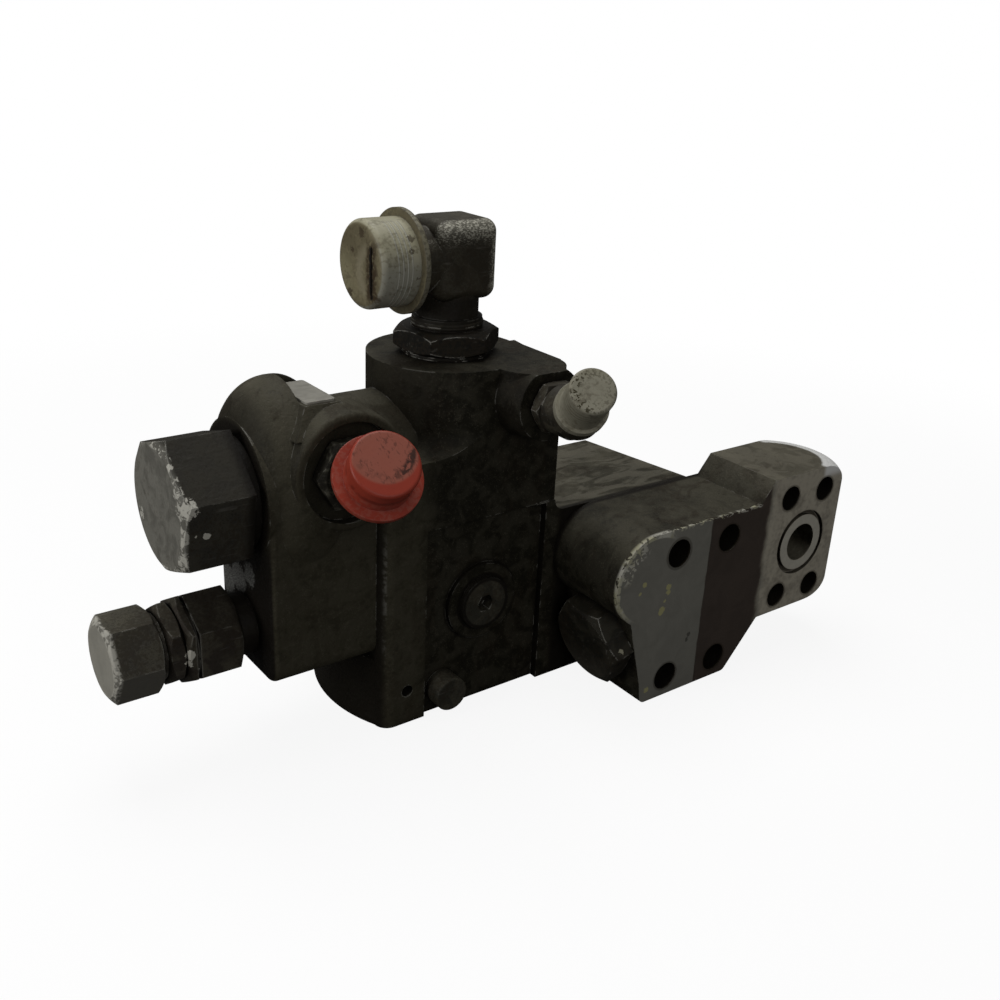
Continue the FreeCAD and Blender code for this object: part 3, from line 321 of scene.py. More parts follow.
class Finish(Tree):
    """A procedural material under construction; tone is its colour so far."""

    def __init__(self, name, roughness=0.6, metallic=0.0, shine=0.2, tone=None):
        self.material = bpy.data.materials.new(name)
        self.material.use_nodes = True
        super().__init__(self.material.node_tree)
        self.shader = self.tree.nodes["Principled BSDF"]
        self.shader.inputs["Roughness"].default_value = roughness
        self.shader.inputs["Metallic"].default_value = metallic
        self.shader.inputs["Specular IOR Level"].default_value = shine
        self.tone = tone
        self.place = self.node("TexCoord").outputs["Object"]
        split = self.node("SeparateXYZ", [self.place])
        self.x, self.y, self.z = (Value(self, out) / MM for out in split.outputs)
        self.normal = self.node("NewGeometry").outputs["Normal"]
        parts = self.node("SeparateXYZ", [self.normal])
        self.nx, self.ny, self.nz = (Value(self, out) for out in parts.outputs)

    def vector(self, operation, first, second, result="Value"):
        """What a Vector Math node makes of two vectors."""
        made = self.node("VectorMath", [first, second], operation=operation)
        return Value(self, made.outputs[result])

    def bevel(self, width):
        """The surface's direction, rounded over its edges."""
        return self.node("Bevel", {"Radius": width}, samples=RAYS).outputs[0]

    def noise(self, scale, detail=3.0, stretch=None, distortion=0.0):
        """Cloudy noise about 0.5, with its scale in waves per metre."""
        spot = self.vector("MULTIPLY", self.place, stretch, "Vector") if stretch else self.place
        made = self.node("TexNoise", {"Vector": spot, "Scale": scale, "Detail": detail,
                                      "Distortion": distortion})
        return Value(self, made.outputs[0])

    def cells(self, scale):
        """Distance to the nearest of scattered points."""
        return Value(self, self.node("TexVoronoi", {"Vector": self.place, "Scale": scale}).outputs[0])

    def edges(self, width):
        """How near a sharp edge is: 0 on flat faces, about 1 on the edge."""
        return (1.0 - self.vector("DOT_PRODUCT", self.bevel(width), self.normal)).step(0.01, 0.16)

    def corners(self, reach):
        """How enclosed a place is: 0 in the open, 1 deep in a corner."""
        shade = self.node("AmbientOcclusion", {"Distance": reach}, samples=RAYS, only_local=False)
        return 1.0 - Value(self, shade.outputs["AO"])

    def away(self, spot):
        """Distance from a place, both in millimetres."""
        return self.vector("DISTANCE", self.place, tuple(value * MM for value in spot)) / MM

    def along(self, direction):
        """Place along a direction in millimetres."""
        return self.vector("DOT_PRODUCT", self.place, direction) / MM

    def facing(self, direction):
        """How much the surface faces a direction."""
        return self.vector("DOT_PRODUCT", self.normal, direction)

    def near(self, spots, size, ragged):
        """1 at the listed places (x, y, z, radius) in millimetres, with ragged outlines."""
        wobble = (self.noise(700.0, 3.0, distortion=0.8) - 0.5) * (size * 2.4 * ragged)
        total = None
        for *spot, reach in spots:
            one = (self.away(spot) + wobble).step(reach * 1.08, reach * 0.92)
            total = one if total is None else total.high(one)
        return total

    def mix(self, share, first, second):
        """A colour between two colours."""
        colours = [value if isinstance(value, bpy.types.NodeSocket) else (*value, 1.0)
                   for value in (first, second)]
        made = self.node("Mix", dict(zip(MIX_INPUTS, (share, *colours))), data_type="RGBA")
        return made.outputs[MIX_RESULT]

    def coat(self, share, colour):
        """Lays a colour over the tone so far, by a share that may vary from place to place."""
        self.tone = self.mix(share, self.tone, colour)
        self.link("Base Color", self.tone)

    def link(self, name, value):
        """Links a varying value to the shader."""
        self.tree.links.new(value.socket if isinstance(value, Value) else value, self.shader.inputs[name])

    def bump(self, height, depth, soft_edge=None):
        """Relief from a height of 0 to 1, with a depth in metres, and rounded edges if wanted."""
        inputs = {"Strength": 1.0, "Distance": depth, "Height": height}
        if soft_edge:
            inputs["Normal"] = self.bevel(soft_edge)
        self.link("Normal", self.node("Bump", inputs).outputs[0])


def cover(names, finish):
    """Gives the named parts of the frame a finish."""
    for name in names:
        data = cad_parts[name].data
        data.materials.clear()
        data.materials.append(finish.material)


def placed(name, data):
    """A new object of the scene."""
    piece = bpy.data.objects.new(name, data)
    bpy.context.scene.collection.objects.link(piece)
    return piece


def mesh_piece(name, body, points, faces, finish):
    """A new smooth mesh that rides on a body."""
    data = bpy.data.meshes.new(name)
    data.from_pydata(points, [], faces)
    data.update()
    data.shade_smooth()
    data.materials.append(finish.material)
    piece = placed(name, data)
    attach(piece, body)
    return piece


class Grain:
    """The noises that the finishes of one material share."""

    def __init__(self, finish, grain):
        self.broad = finish.noise(26.0, 4.0, distortion=0.5)
        self.patch = finish.noise(105.0, 4.0, distortion=0.7)
        self.fine = finish.noise(grain, 3.0)
        self.grit = finish.noise(grain * 4.0, 2.0)


def cast_skin(finish, colours, details, dusty):
    """Coats the finish as painted cast iron, with dirt and painted shade in its corners; dusty is how much
    dust lies on faces that look up.
    """
    grain = Grain(finish, details.grain)
    pits = finish.cells(details.grain * 0.8).step(0.05, 0.4)
    edge = finish.edges(details.edge_width)
    wear = (edge * grain.patch.step(0.47, 0.60) * (0.35 + grain.fine)).step(0.30, 0.75)
    corner_dirt_and_shade = finish.corners(9 * MM)
    flow = finish.noise(38.0, 5.0, stretch=(1.5, 1.5, 0.45), distortion=1.5)
    up = finish.nz.step(0.10, 0.95) * dusty * (0.45 + grain.broad.step(0.35, 0.62) * 0.75)
    finish.coat(grain.patch.step(0.42, 0.60) * 0.26, colours.rubbed)
    finish.coat(up.low(1.0), colours.dust)
    finish.coat(flow.step(0.50, 0.62) * (0.22 + finish.nz.step(0.2, 0.8) * 0.25), colours.stain)
    finish.coat((grain.fine * 0.6 + grain.patch * 0.5).step(0.50, 0.42) * 0.22, colours.dirt_and_shade)
    finish.coat((grain.grit * 0.7 + grain.fine * 0.5).step(0.66, 0.78) * 0.35, colours.dust)
    # Dirt and painted shade in corners and hollows.
    finish.coat((corner_dirt_and_shade * (0.6 + grain.fine * 0.8)).step(0.25, 0.75) * 0.9, colours.dirt_and_shade)
    finish.coat(wear * 0.6, colours.bare)
    relief = grain.fine * 0.45 + grain.grit * 0.12 + grain.patch * 0.5 + pits * 0.12
    return relief, wear, grain


def steel_finish(name, colours, dust=0.6, worn=1.0, base=None, rub=0.7, spots=None, ends=None):
    """Painted steel with bright worn corners and with dirt and painted shade in its inner corners; ends lists
    X places of ends that are rubbed bright.
    """
    finish = Finish(name, tone=base or colours.steel)
    grain = Grain(finish, 600.0)
    scratches = finish.noise(150.0, 3.0, stretch=(0.4, 3.0, 3.0))
    edge = finish.edges(1.4 * MM)
    wear = (edge * grain.patch.step(0.44, 0.58) * (0.35 + grain.fine)).step(0.30, 0.75) * worn
    corner_dirt_and_shade = finish.corners(6 * MM)
    up = finish.nz.step(0.2, 0.95) * dust * (0.4 + grain.patch * 0.9)
    finish.coat(grain.patch.step(0.43, 0.60) * rub, colours.rubbed)
    finish.coat(up.low(1.0), colours.dust)
    finish.coat((grain.fine * 0.6 + grain.broad * 0.5).step(0.54, 0.62) * 0.5, colours.stain)
    finish.coat((grain.fine * 0.6 + grain.grit * 0.5).step(0.50, 0.42) * 0.45, colours.dirt_and_shade)
    for place in ends or ():
        face = finish.x.step(place + 2.6, place + 0.9)
        mottle = (grain.patch * 0.7 + grain.broad * 0.3).step(0.42, 0.58)
        finish.coat(face * (0.50 + mottle * 0.28), colours.worn)
        finish.coat(face * (grain.fine * 0.6 + scratches * 0.5).step(0.60, 0.70) * 0.35, colours.rubbed)
        rim = (finish.x.band(place + 0.4, place + 3.0, 0.5)
               * (edge * 0.5 + grain.patch * 0.7 + grain.fine * 0.5))
        finish.coat(rim.step(0.72, 0.86) * 0.8, END_RIM)
    finish.coat(scratches.step(0.63, 0.74) * 0.12, colours.bare)
    # Dirt and painted shade where the surface is enclosed.
    finish.coat(corner_dirt_and_shade.step(0.22, 0.75) * 0.9, colours.dirt_and_shade)
    finish.coat(wear * 0.75, colours.bare)
    if spots:
        finish.coat(finish.near(spots, 2.2, 0.5), colours.chip)
    finish.bump(grain.fine * 0.5 + scratches * 0.25 + grain.patch * 0.4, 0.35 * MM, 0.6 * MM)
    finish.link("Roughness", 0.46 + grain.patch * 0.25 - wear * 0.12)
    return finish, grain


class ValveCasting(bpy.types.Operator):
    """Finishes the main casting: dark paint over rough iron, dusty on top and worn at its edges, with painted
    shade on its left faces, round the large plug, behind the flange block and in its corners
    """

    bl_idname = "valve.casting"
    bl_label = "Main casting"

    def execute(self, context):
        colours, details = settings("colours"), settings("details")
        iron = Finish("dark_casting_paint", shine=0.15)
        wander = (iron.noise(60.0, 3.0) - 0.5) * 16.0
        right = (iron.x + wander).step(-40.0, -26.0)
        iron.tone = iron.mix(right, colours.casting, colours.oily)
        arm = iron.x.step(38.0, 46.0)
        boss = right * (1.0 - arm)
        relief, wear, grain = cast_skin(iron, colours, details, 0.76 - boss * 0.60)
        smears = iron.noise(45.0, 4.0, stretch=(1.0, 2.5, 1.0), distortion=1.2).step(0.40, 0.56)
        top = arm * iron.nz.step(0.6, 0.95)
        iron.coat(top * smears * 0.45, ARM_SMEAR)
        corner = (iron.x.band(-55.6, -54.2, 0.5) * iron.y.step(-30.0, -36.0)
                  * iron.z.band(42.0, 98.0, 10.0))
        iron.coat(corner * (grain.patch * 0.7 + grain.fine * 0.5).step(0.56, 0.68) * 0.35, colours.bare)
        around = iron.away(CHECK_PLUG_EDGE)
        groove = around.band(13.2, 15.2, 0.4) + around.band(19.4, 21.5, 0.6) * 0.7
        iron.coat((groove * iron.y.step(-33.0, -34.5)).low(1.0) * 0.9, colours.dirt_and_shade)
        # Painted shade: faces that look to the left are darkened, more so low down.
        left_face_shade = iron.nx.step(-0.45, -0.90) * (0.50 + iron.z.step(112.0, 96.0) * 0.35)
        iron.coat(left_face_shade, colours.dirt_and_shade)
        # Painted shadow of the large plug on the left faces below it, painted shade on the casting's front
        # behind the flange block, and oil with painted shade on the barrel's end round the plug.
        under = iron.nx.step(-0.6, -0.9) * iron.x.step(-90.0, -100.0) * iron.z.step(112.0, 92.0)
        shade_behind_flange = iron.y.step(-35.0, -37.4) * iron.x.step(42.0, 47.0)
        barrel = iron.away((BARREL_END, 0.0, MAIN_AXIS)).step(33.5, 30.0)
        behind = (iron.x.step(-96.0, -108.5) * barrel).high(under)
        iron.coat(behind.high(shade_behind_flange) * 0.85, colours.dirt_and_shade)
        scuff = iron.near(SCUFFED_PLACES, 7.0, 0.5)
        iron.coat(scuff * (0.25 + grain.grit.step(0.44, 0.60) * 0.6), SCUFF)
        iron.bump(relief, 0.9 * MM, 0.8 * MM)
        iron.link("Roughness", (0.46 + grain.patch * 0.3 - wear * 0.12).low(1.0))
        cover(["main_housing"], iron)
        return {"FINISHED"}


class ValveFlange(bpy.types.Operator):
    """Finishes the flange block: grey and brown paint, machined pad, chips along the arc, yellow specks, a
    painted highlight over the pad's rounded end and painted shade in the screw holes and on its back
    """

    bl_idname = "valve.flange"
    bl_label = "Flange block"

    def execute(self, context):
        colours, details = settings("colours"), settings("details")
        iron = Finish("flange_paint", shine=0.15, tone=colours.oily)
        over = iron.x.step(140.0, 150.0)
        relief, _, grain = cast_skin(iron, colours, details, 0.50 + over * 0.55)
        front = iron.ny.step(-0.8, -0.97)
        ripple = (iron.noise(90.0, 3.0) - 0.5) * 3.0
        dust = over * iron.nz.step(0.3, 0.9) * (0.52 - grain.patch.step(0.46, 0.60) * 0.30)
        iron.coat(dust, PAD_TOP)
        painted = self.face(iron, colours, grain, front, ripple)
        self.pad(iron, colours, grain, front, ripple)
        self.chips(iron, colours, grain, ripple)
        # Stain on the face round the screw holes and painted shade inside them.
        inside = iron.y.step(-87.4, -86.4)
        deep = iron.mix(inside, colours.stain, colours.dirt_and_shade)
        for x, z, reach in SCREW_HOLES:
            across = span(iron.x - x, iron.z - z) + ripple * 0.25
            iron.coat(across.step(reach + 0.5, reach - 0.3) * (0.45 + inside * 0.5), deep)
        # Painted shade on the back of the flange block, where it meets the arm.
        iron.coat(iron.y.step(-43.0, -40.5) * iron.x.step(150.0, 140.0) * 0.85, colours.dirt_and_shade)
        smooth = 1.0 - painted.low(1.0) * 0.85
        iron.bump(relief * smooth, 0.9 * MM, 0.8 * MM)
        iron.link("Roughness", 0.45 + relief * 0.3)
        cover(["flange_block"], iron)
        return {"FINISHED"}

    def face(self, iron, colours, grain, front, ripple):
        """The three areas of the front face, from grey over brown to the machined pad, and where they lie."""
        left = (iron.x + ripple * 0.4).step(104.4, 103.6) * front
        middle = (iron.x + ripple).band(104.0, 147.0, 0.8) * front
        pad = (iron.x + ripple * 2.0).step(145.0, 150.0) * front
        cloud = (grain.patch * 0.5 + grain.broad * 0.6).step(0.35, 0.75)
        iron.coat(left, iron.mix(cloud * 0.35, colours.grey, GREY_CLOUD))
        iron.coat(middle, iron.mix(cloud * 0.45, colours.brown, BROWN_CLOUD))
        stain = (grain.patch * 0.75 + grain.fine * 0.5).step(0.50, 0.85)
        iron.coat(pad, iron.mix(stain * 0.45, colours.pad, colours.brown))
        port = iron.away(PIPE_PORT)
        iron.coat(port.band(10.8, 16.0, 0.5) * pad * 0.6, PORT_RING)
        groove = port.band(16.3, 18.5, 0.5) * iron.x.step(150.0, 156.0) * iron.y.step(-83.0, -84.5)
        iron.coat(groove * 0.8, colours.stain)
        return left + middle + pad

    def pad(self, iron, colours, grain, front, ripple):
        """The line beside the pad and the painted highlight over its rounded end."""
        line = ((iron.x + ripple).band(147.2, 150.4, 0.9) * front
                * (grain.patch + grain.fine * 0.4).step(0.55, 0.85))
        iron.coat(line * 0.4, PAD_LINE)
        # Painted highlight over the pad's rounded end.
        radial = iron.away(PAD_END) + ripple * 0.4
        highlight_on_rounding = radial.step(22.8, 24.4) * iron.x.step(187.0, 190.5) * iron.z.step(98.0, 103.0)
        iron.coat(highlight_on_rounding * (0.84 + grain.fine * 0.3).low(1.0), colours.band)

    def chips(self, iron, colours, grain, ripple):
        """Chips along the arc and the brink, yellow specks and two scratches."""
        ring = iron.away(ARC_CENTRE) + ripple * 0.2
        upper = iron.z.step(48.0, 60.0) * iron.x.step(80.0, 72.0) * iron.y.step(-84.5, -86.5)
        rim = ring.band(22.6, 26.0, 0.4) * upper
        patch = ring.band(16.5, 24.6, 1.0) * upper * iron.x.step(64.0, 56.0) * iron.z.step(70.0, 76.0)
        ragged = iron.noise(320.0, 4.0, distortion=1.2)
        chipped = (rim * ragged.step(0.40, 0.46)).high(patch * ragged.step(0.52, 0.56))
        brink = (iron.z.band(93.2, 95.0, 0.5) * iron.x.band(68.0, 140.0, 2.0)
                 * iron.y.step(-85.5, -87.0))
        chipped = chipped.high(brink * ragged.step(0.52, 0.58))
        iron.coat(chipped * 0.85, iron.mix(grain.patch.step(0.45, 0.6), colours.chip, CHIP_CLOUD))
        iron.coat(iron.near(YELLOW_SPECKS, 1.6, 0.6) * 0.9, colours.yellow)
        iron.coat(iron.near(FACE_SCRATCHES, 1.3, 0.7) * 0.55, colours.dirt_and_shade)


class ValvePlugs(bpy.types.Operator):
    """Finishes the plugs, the relief cartridge and the cross plug: painted steel with bright worn corners"""

    bl_idname = "valve.plugs"
    bl_label = "Plugs and cartridge"

    def execute(self, context):
        colours, details = settings("colours"), settings("details")
        self.large_plug(colours, details)
        self.cartridge(colours)
        self.relief_cap(colours)
        self.low_plugs(colours)
        self.cross_plug(colours)
        return {"FINISHED"}

    def large_plug(self, colours, details):
        """The large plug, with paint that has come off in a border round its end."""
        end = details.plug_end / MM
        big, grain = steel_finish("big_plug_paint", colours, dust=0.05, rub=0.3, ends=(end,),
                                  spots=[(-134.4, -27.2, 117.6, 1.7), (-139.4, -27.2, 118.5, 0.5)])
        # Painted shade: the plug's top faces are darker.
        big.coat(big.nz.step(0.35, 0.70) * 0.6, PLUG_TOP_SHADE)
        # Oil and painted shade on the plug's part next to the casting.
        big.coat(big.x.step(-119.0, -113.5) * 0.9, colours.dirt_and_shade)
        ragged = big.noise(360.0, 4.0, distortion=1.2)
        radius = span(big.y, big.z - MAIN_AXIS)
        reach = big.y.step(-14.0, -26.0) * 1.6
        border = ((radius - 26.0 + reach).step(-0.2, 0.4) * big.x.step(end + 2.6, end + 1.6)
                  * big.y.step(8.0, 0.0))
        corner = big.near([(end + 2.0, -27.5, 131.5, 4.6), (end + 0.6, -24.5, 129.0, 3.4),
                           (end + 0.4, -21.5, 136.0, 2.4), (end + 0.6, 20.5, 112.6, 2.6)], 4.0, 0.55)
        border = border * (ragged * 0.6 + grain.patch * 0.5).step(0.56, 0.61)
        big.coat(border.high(corner * ragged.step(0.40, 0.50)) * 0.92, PLUG_BORDER)
        cover(["main_plug"], big)
        self.turned_plug(details, big)

    def cartridge(self, colours):
        """The body and the lock nut of the relief cartridge, with painted shadow next to the casting and
        darker faces on top.
        """
        body, _ = steel_finish("cartridge_paint", colours, dust=0.35, worn=0.6, base=CARTRIDGE,
                               spots=[(-142.6, -21.5, 61.0, 2.3), (-143.0, -21.0, 56.8, 1.7),
                                      (-139.6, -20.0, 51.5, 1.4)])
        # Painted shadow next to the casting, and darker faces on top.
        shadow_and_dark_top = body.x.step(-122.0, -116.0) + body.nz.step(0.3, 0.8) * body.x.step(-146.0, -138.0) * 0.6
        body.coat(shadow_and_dark_top.low(1.0) * 0.85, colours.dirt_and_shade)
        cover(["relief_body", "relief_lock_nut"], body)

    def relief_cap(self, colours):
        """The cartridge's cap with its bright end, painted light on its lower faces and painted shade on its
        front.
        """
        cap, grain = steel_finish("cartridge_cap_paint", colours, base=RELIEF_CAP, dust=0.8,
                                  ends=(-174.8,), spots=[(-158.5, -20.0, 60.5, 0.9)])
        face = cap.nx.step(-0.85, -0.98) * cap.x.step(-170.0, -173.0)
        cap.coat(face * (0.45 + grain.patch * 0.35), CAP_FACE)
        # Painted light on the faces that look down and painted shade on the faces that look forward.
        cap.coat(cap.nz.step(-0.25, -0.5) * 0.5, CAP_UNDER_LIGHT)
        cap.coat(cap.ny.step(-0.6, -0.9) * cap.nz.band(-0.4, 0.4, 0.1) * 0.55, CAP_FRONT_SHADE)
        radius = span(cap.y + RELIEF_FORWARD, cap.z - RELIEF_AXIS)
        rim = (radius.step(14.6, 16.0) * cap.x.step(-171.5, -173.0)
               * (grain.fine * 0.6 + grain.patch * 0.5).step(0.50, 0.60))
        cap.coat(rim * 0.8, CAP_RIM)
        cover(["relief_cap"], cap)

    def low_plugs(self, colours):
        """The round plugs low on the casting, darkened in their grooves and in the socket."""
        low, _ = steel_finish("low_plug_paint", colours, base=LOW_PLUG)
        socket = low.away(CHECK_PLUG_END)
        ring = socket.band(11.8, 14.6, 0.35) * low.z.step(40.0, 42.0)
        hole = socket.step(4.6, 3.6) * low.z.step(40.0, 42.0)
        low.coat(ring.high(hole) * 0.9, colours.dirt_and_shade)
        cover(["stub_plug", "check_plug"], low)

    def cross_plug(self, colours):
        """The nearly black plug of the cross drilling, with yellow specks and bright knocks."""
        cross, grain = steel_finish("cross_plug_paint", colours, base=CROSS_PLUG, dust=0.15,
                                    rub=0.3, worn=1.4)
        cross.coat(cross.ny.step(-0.8, -0.97) * grain.patch.step(0.35, 0.6) * 0.5, CROSS_FRONT)
        specks = (cross.x.step(57.0, 61.0) * cross.nz.step(-0.2, 0.3)
                  * (grain.fine * 0.7 + grain.patch * 0.5).step(0.62, 0.70))
        cross.coat(specks * 0.7, colours.yellow)
        cross.coat(cross.z.step(30.0, 8.0) * 0.35, CROSS_LOW)
        cross.coat(cross.near(CROSS_KNOCKS, 1.6, 0.9) * 0.85, CROSS_BRIGHT)
        cover(["cross_plug"], cross)

    def turned_plug(self, details, finish):
        """The large plug with its hexagon as the photograph shows it, on the frame's own collar and shank."""
        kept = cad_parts["main_plug"].data
        collar, axis = COLLAR_FACE * MM, MAIN_AXIS * MM
        faces = []
        for face in kept.polygons:
            places = [kept.vertices[index].co.x for index in face.vertices]
            if min(places) > collar - 0.01 * MM and max(places) > collar + 0.01 * MM:
                faces.append(tuple(face.vertices))
        used = sorted({index for face in faces for index in face})
        order = {index: place for place, index in enumerate(used)}
        points = [tuple(kept.vertices[index].co) for index in used]
        faces = [tuple(order[index] for index in face) for face in faces]
        flat, end, chamfer = details.plug_flats / 2, details.plug_end, math.tan(math.radians(30))
        round_end = flat - 0.8 * MM
        first, steps = len(points), 120
        for step in range(steps):
            turned = step * 360 / steps
            angle = math.radians(details.plug_turn + turned)
            reach = flat / math.cos(math.radians(turned % 60 - 30))
            rise = (reach - round_end) * chamfer
            for x, radius in ((collar, reach), (end + rise, reach), (end, round_end)):
                points.append((x, radius * math.cos(angle), axis + radius * math.sin(angle)))
        for step in range(steps):
            here, there = first + step * 3, first + (step + 1) % steps * 3
            faces += [(here, there, there + 1, here + 1), (here + 1, there + 1, there + 2, here + 2)]
        faces.append(tuple(first + step * 3 for step in reversed(range(steps))))
        faces.append(tuple(first + 2 + step * 3 for step in range(steps)))
        piece = mesh_piece("turned_main_plug", "valve", points, faces, finish)
        piece.data.set_sharp_from_angle(angle=math.radians(25))
        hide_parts("main_plug")


class ValveFittings(bpy.types.Operator):
    """Finishes the elbows with their nuts and washer"""

    bl_idname = "valve.fittings"
    bl_label = "Elbows and nuts"

    def execute(self, context):
        colours = settings("colours")
        top, grain = steel_finish("elbow_steel", colours, dust=0.28, base=ELBOW, rub=0.55)
        brow = top.z.step(222.0, 232.5) * top.y.step(-9.5, -12.5)
        cheek = top.x.step(10.5, 16.0) * top.y.step(-5.0, -11.0) * top.z.step(198.0, 206.0)
        grit = top.noise(1500.0, 3.0, stretch=(0.55, 1.0, 1.3))
        speckle = (grain.fine * 0.35 + grit * 0.70 + grain.patch * 0.20).step(0.62, 0.70)
        top.coat(top.nz.step(0.7, 0.95) * speckle * 0.2, ELBOW_TOP)
        top.coat(top.z.step(203.0, 198.0) * 0.75, colours.dirt_and_shade)
        worn = brow.high(cheek)
        top.coat((worn * 0.25 + speckle * 0.75) * worn, ELBOW_WORN)
        cover(["top_elbow"], top)
        nut, _ = steel_finish("lock_nut_steel", colours, dust=0.05, rub=0.08, base=LOCK_NUT, worn=1.7)
        cover(["top_lock_nut", "top_washer"], nut)
        small, grain = steel_finish("small_fitting_steel", colours, dust=0.3, base=SMALL_FITTING)
        crust = (grain.patch * 0.8 + grain.fine * 0.5).step(0.62, 0.78) * small.x.step(-50.0, -60.0)
        small.coat(crust * 0.6, CRUST)
        cover(["drain_elbow", "drain_lock_nut", "pilot_elbow", "pilot_lock_nut"], small)
        return {"FINISHED"}


class ValveThread(bpy.types.Operator):
    """Cuts the visible thread of the top elbow between its lock nut and its block"""

    bl_idname = "valve.thread"
    bl_label = "Elbow thread"

    def execute(self, context):
        colours, details = settings("colours"), settings("details")
        finish, _ = steel_finish("thread_steel", colours, dust=0.1, rub=0.3, base=THREAD)
        low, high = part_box("top_lock_nut")[1].z - 0.4 * MM, details.thread_top
        pitch, height, root = details.thread_pitch, details.thread_height, 16.5 * MM
        turns = (high - low) / pitch
        steps_per_turn, fade_steps = 48, 24
        count = int(turns * steps_per_turn)
        points, faces = [], []
        for index in range(count + 1):
            angle = 2 * math.pi * turns * index / count
            fade = min(1.0, index / fade_steps, (count - index) / fade_steps)
            rise = low + (high - low - pitch) * index / count
            for out, up in ((0.0, 0.0), (height * fade, 0.36), (height * fade, 0.64), (0.0, 1.0)):
                radius = root + out
                points.append((radius * math.cos(angle), radius * math.sin(angle), rise + up * pitch * 0.9))
            if index:
                base = len(points) - 8
                for side in range(3):
                    faces.append((base + side, base + 4 + side, base + 5 + side, base + 1 + side))
        mesh_piece("elbow_thread", "valve", points, faces, finish)
        return {"FINISHED"}


class ValveCaps(bpy.types.Operator):
    """Finishes the three plastic caps: clouded white plastic with moulded rings, and faded red plastic"""

    bl_idname = "valve.caps"
    bl_label = "Plastic caps"

    def execute(self, context):
        colours = settings("colours")
        self.clouded(colours)
        self.faded(colours)
        return {"FINISHED"}

    def clouded(self, colours):
        """The milky plastic of the top cap and the pilot cap, with painted shade on the top cap's lower faces
        and in corners; on_top is 1 on the top cap.
        """
        cap = Finish("clouded_plastic", 0.42, shine=0.35, tone=colours.milky)
        cloud = cap.noise(55.0, 4.0, distortion=0.8)
        fine = cap.noise(600.0, 3.0)
        streaks = cap.noise(130.0, 3.0, stretch=(0.5, 1.6, 1.6), distortion=0.8)
        on_top = cap.z.step(180.0, 190.0)
        wave = cap.x * (2 * math.pi / 2.3) + cap.noise(40.0, 2.0) * 1.6
        rings = (wave.sine().step(0.55, 1.0) * cap.x.band(-39.5, -31.0, 0.8) * on_top
                 * cap.ny.step(-0.1, -0.5))
        leg = cap.along(PILOT_LEG)
        turned = (leg * (2 * math.pi / 2.4)).sine().step(0.5, 1.0)
        turned = turned * leg.band(159.0, 168.5, 0.8) * (1.0 - on_top)
        end = cap.nx.step(-0.80, -0.98) * on_top
        cap.coat(cloud.step(0.35, 0.70) * 0.6, MILKY_CLOUD)
        cap.coat((1.0 - on_top) * 0.5, MILKY_PILOT)
        # Painted shade: the top cap's sides and lower faces are darker and greyer.
        lower = cap.nz.step(0.55, -0.15) * on_top
        cap.coat(lower * 0.45, MILKY_UNDER_SHADE)
        cap.coat((on_top - lower).high(0.0) * 0.45, MILKY_SIDE)
        cap.coat(end * 0.85, MILKY_END)
        pale = end * (cap.y + (cloud - 0.5) * 14.0).step(2.0, 12.0) * cap.z.step(226.0, 212.0)
        cap.coat(pale * 0.55, MILKY_PALE)
        cap.coat(end * (cloud * 0.7 + streaks * 0.5).step(0.52, 0.72) * 0.7, MILKY_STREAK)
        cap.coat(rings * 0.85, MILKY_RINGS)
        cap.coat((streaks * 0.6 + fine * 0.55).step(0.58, 0.72) * 0.45, MILKY_GRIME)
        cap.coat(turned * 0.6, MILKY_TURNED)
        crescent = cap.away(CAP_SLOT).band(7.5, 12.5, 2.5) * cap.y.step(-8.0, -4.0) * end
        cap.coat(crescent * 0.6, MILKY_CRESCENT)
        self.slot(cap, colours, streaks, fine)
        cap.coat(cap.near(CAP_SMUDGES, 2.0, 0.9) * 0.7, MILKY_SMUDGE)
        flange = cap.x.step(-28.0, -27.0) * on_top
        cap.coat(flange * (0.62 + fine.step(0.45, 0.6) * 0.3), MILKY_FLANGE)
        # Painted shade in the caps' corners.
        cap.coat(cap.corners(7 * MM).step(0.3, 0.85) * 0.6, MILKY_CORNER_SHADE)
        middle = cap.away(PILOT_CAP_END)
        rim = middle.step(4.0, 8.0) * (middle.step(16.0, 11.0) * cap.facing(PILOT_LEG).step(0.3, 0.9))
        side = (cap.x + (cap.z - PILOT_CAP_END[2]) * -0.5).step(14.0, 6.0)
        speckle = cap.noise(800.0, 4.0, distortion=0.5).step(0.53, 0.57) * (1.0 - on_top)
        cap.coat(speckle * rim * (0.38 + side * 0.62), MILKY_SPECKLE)
        cap.coat(speckle * 0.12, MILKY_SPECKLE)
        cap.bump(rings * 0.8 + turned * 0.5 + cloud * 0.5 + fine * 0.15, 0.35 * MM, 1.0 * MM)
        cap.link("Roughness", 0.34 + cloud * 0.25)
        cover(["top_cap", "pilot_cap"], cap)

    def slot(self, cap, colours, streaks, fine):
        """The dark slit in the top cap's end, with the smeared dirt beside it."""
        sway = cap.y + (streaks - 0.5) * 5.0
        end = cap.x.step(-43.5, -45.5)
        dirty = streaks * 0.6 + fine * 0.5
        smear = sway.band(-13.6, -6.0, 1.4) * cap.z.band(201.0, 228.0, 4.0) * end
        cap.coat(smear * dirty.step(0.38, 0.54) * 0.9, MILKY_SMEAR)
        mud = sway.band(-15.5, -10.6, 1.2) * cap.z.band(202.0, 218.0, 3.0) * end
        cap.coat(mud * dirty.step(0.46, 0.58) * 0.65, MILKY_MUD)
        cap.coat(sway.band(-10.9, -8.6, 0.3) * cap.z.band(203.0, 225.7, 1.0) * end, colours.dirt_and_shade)

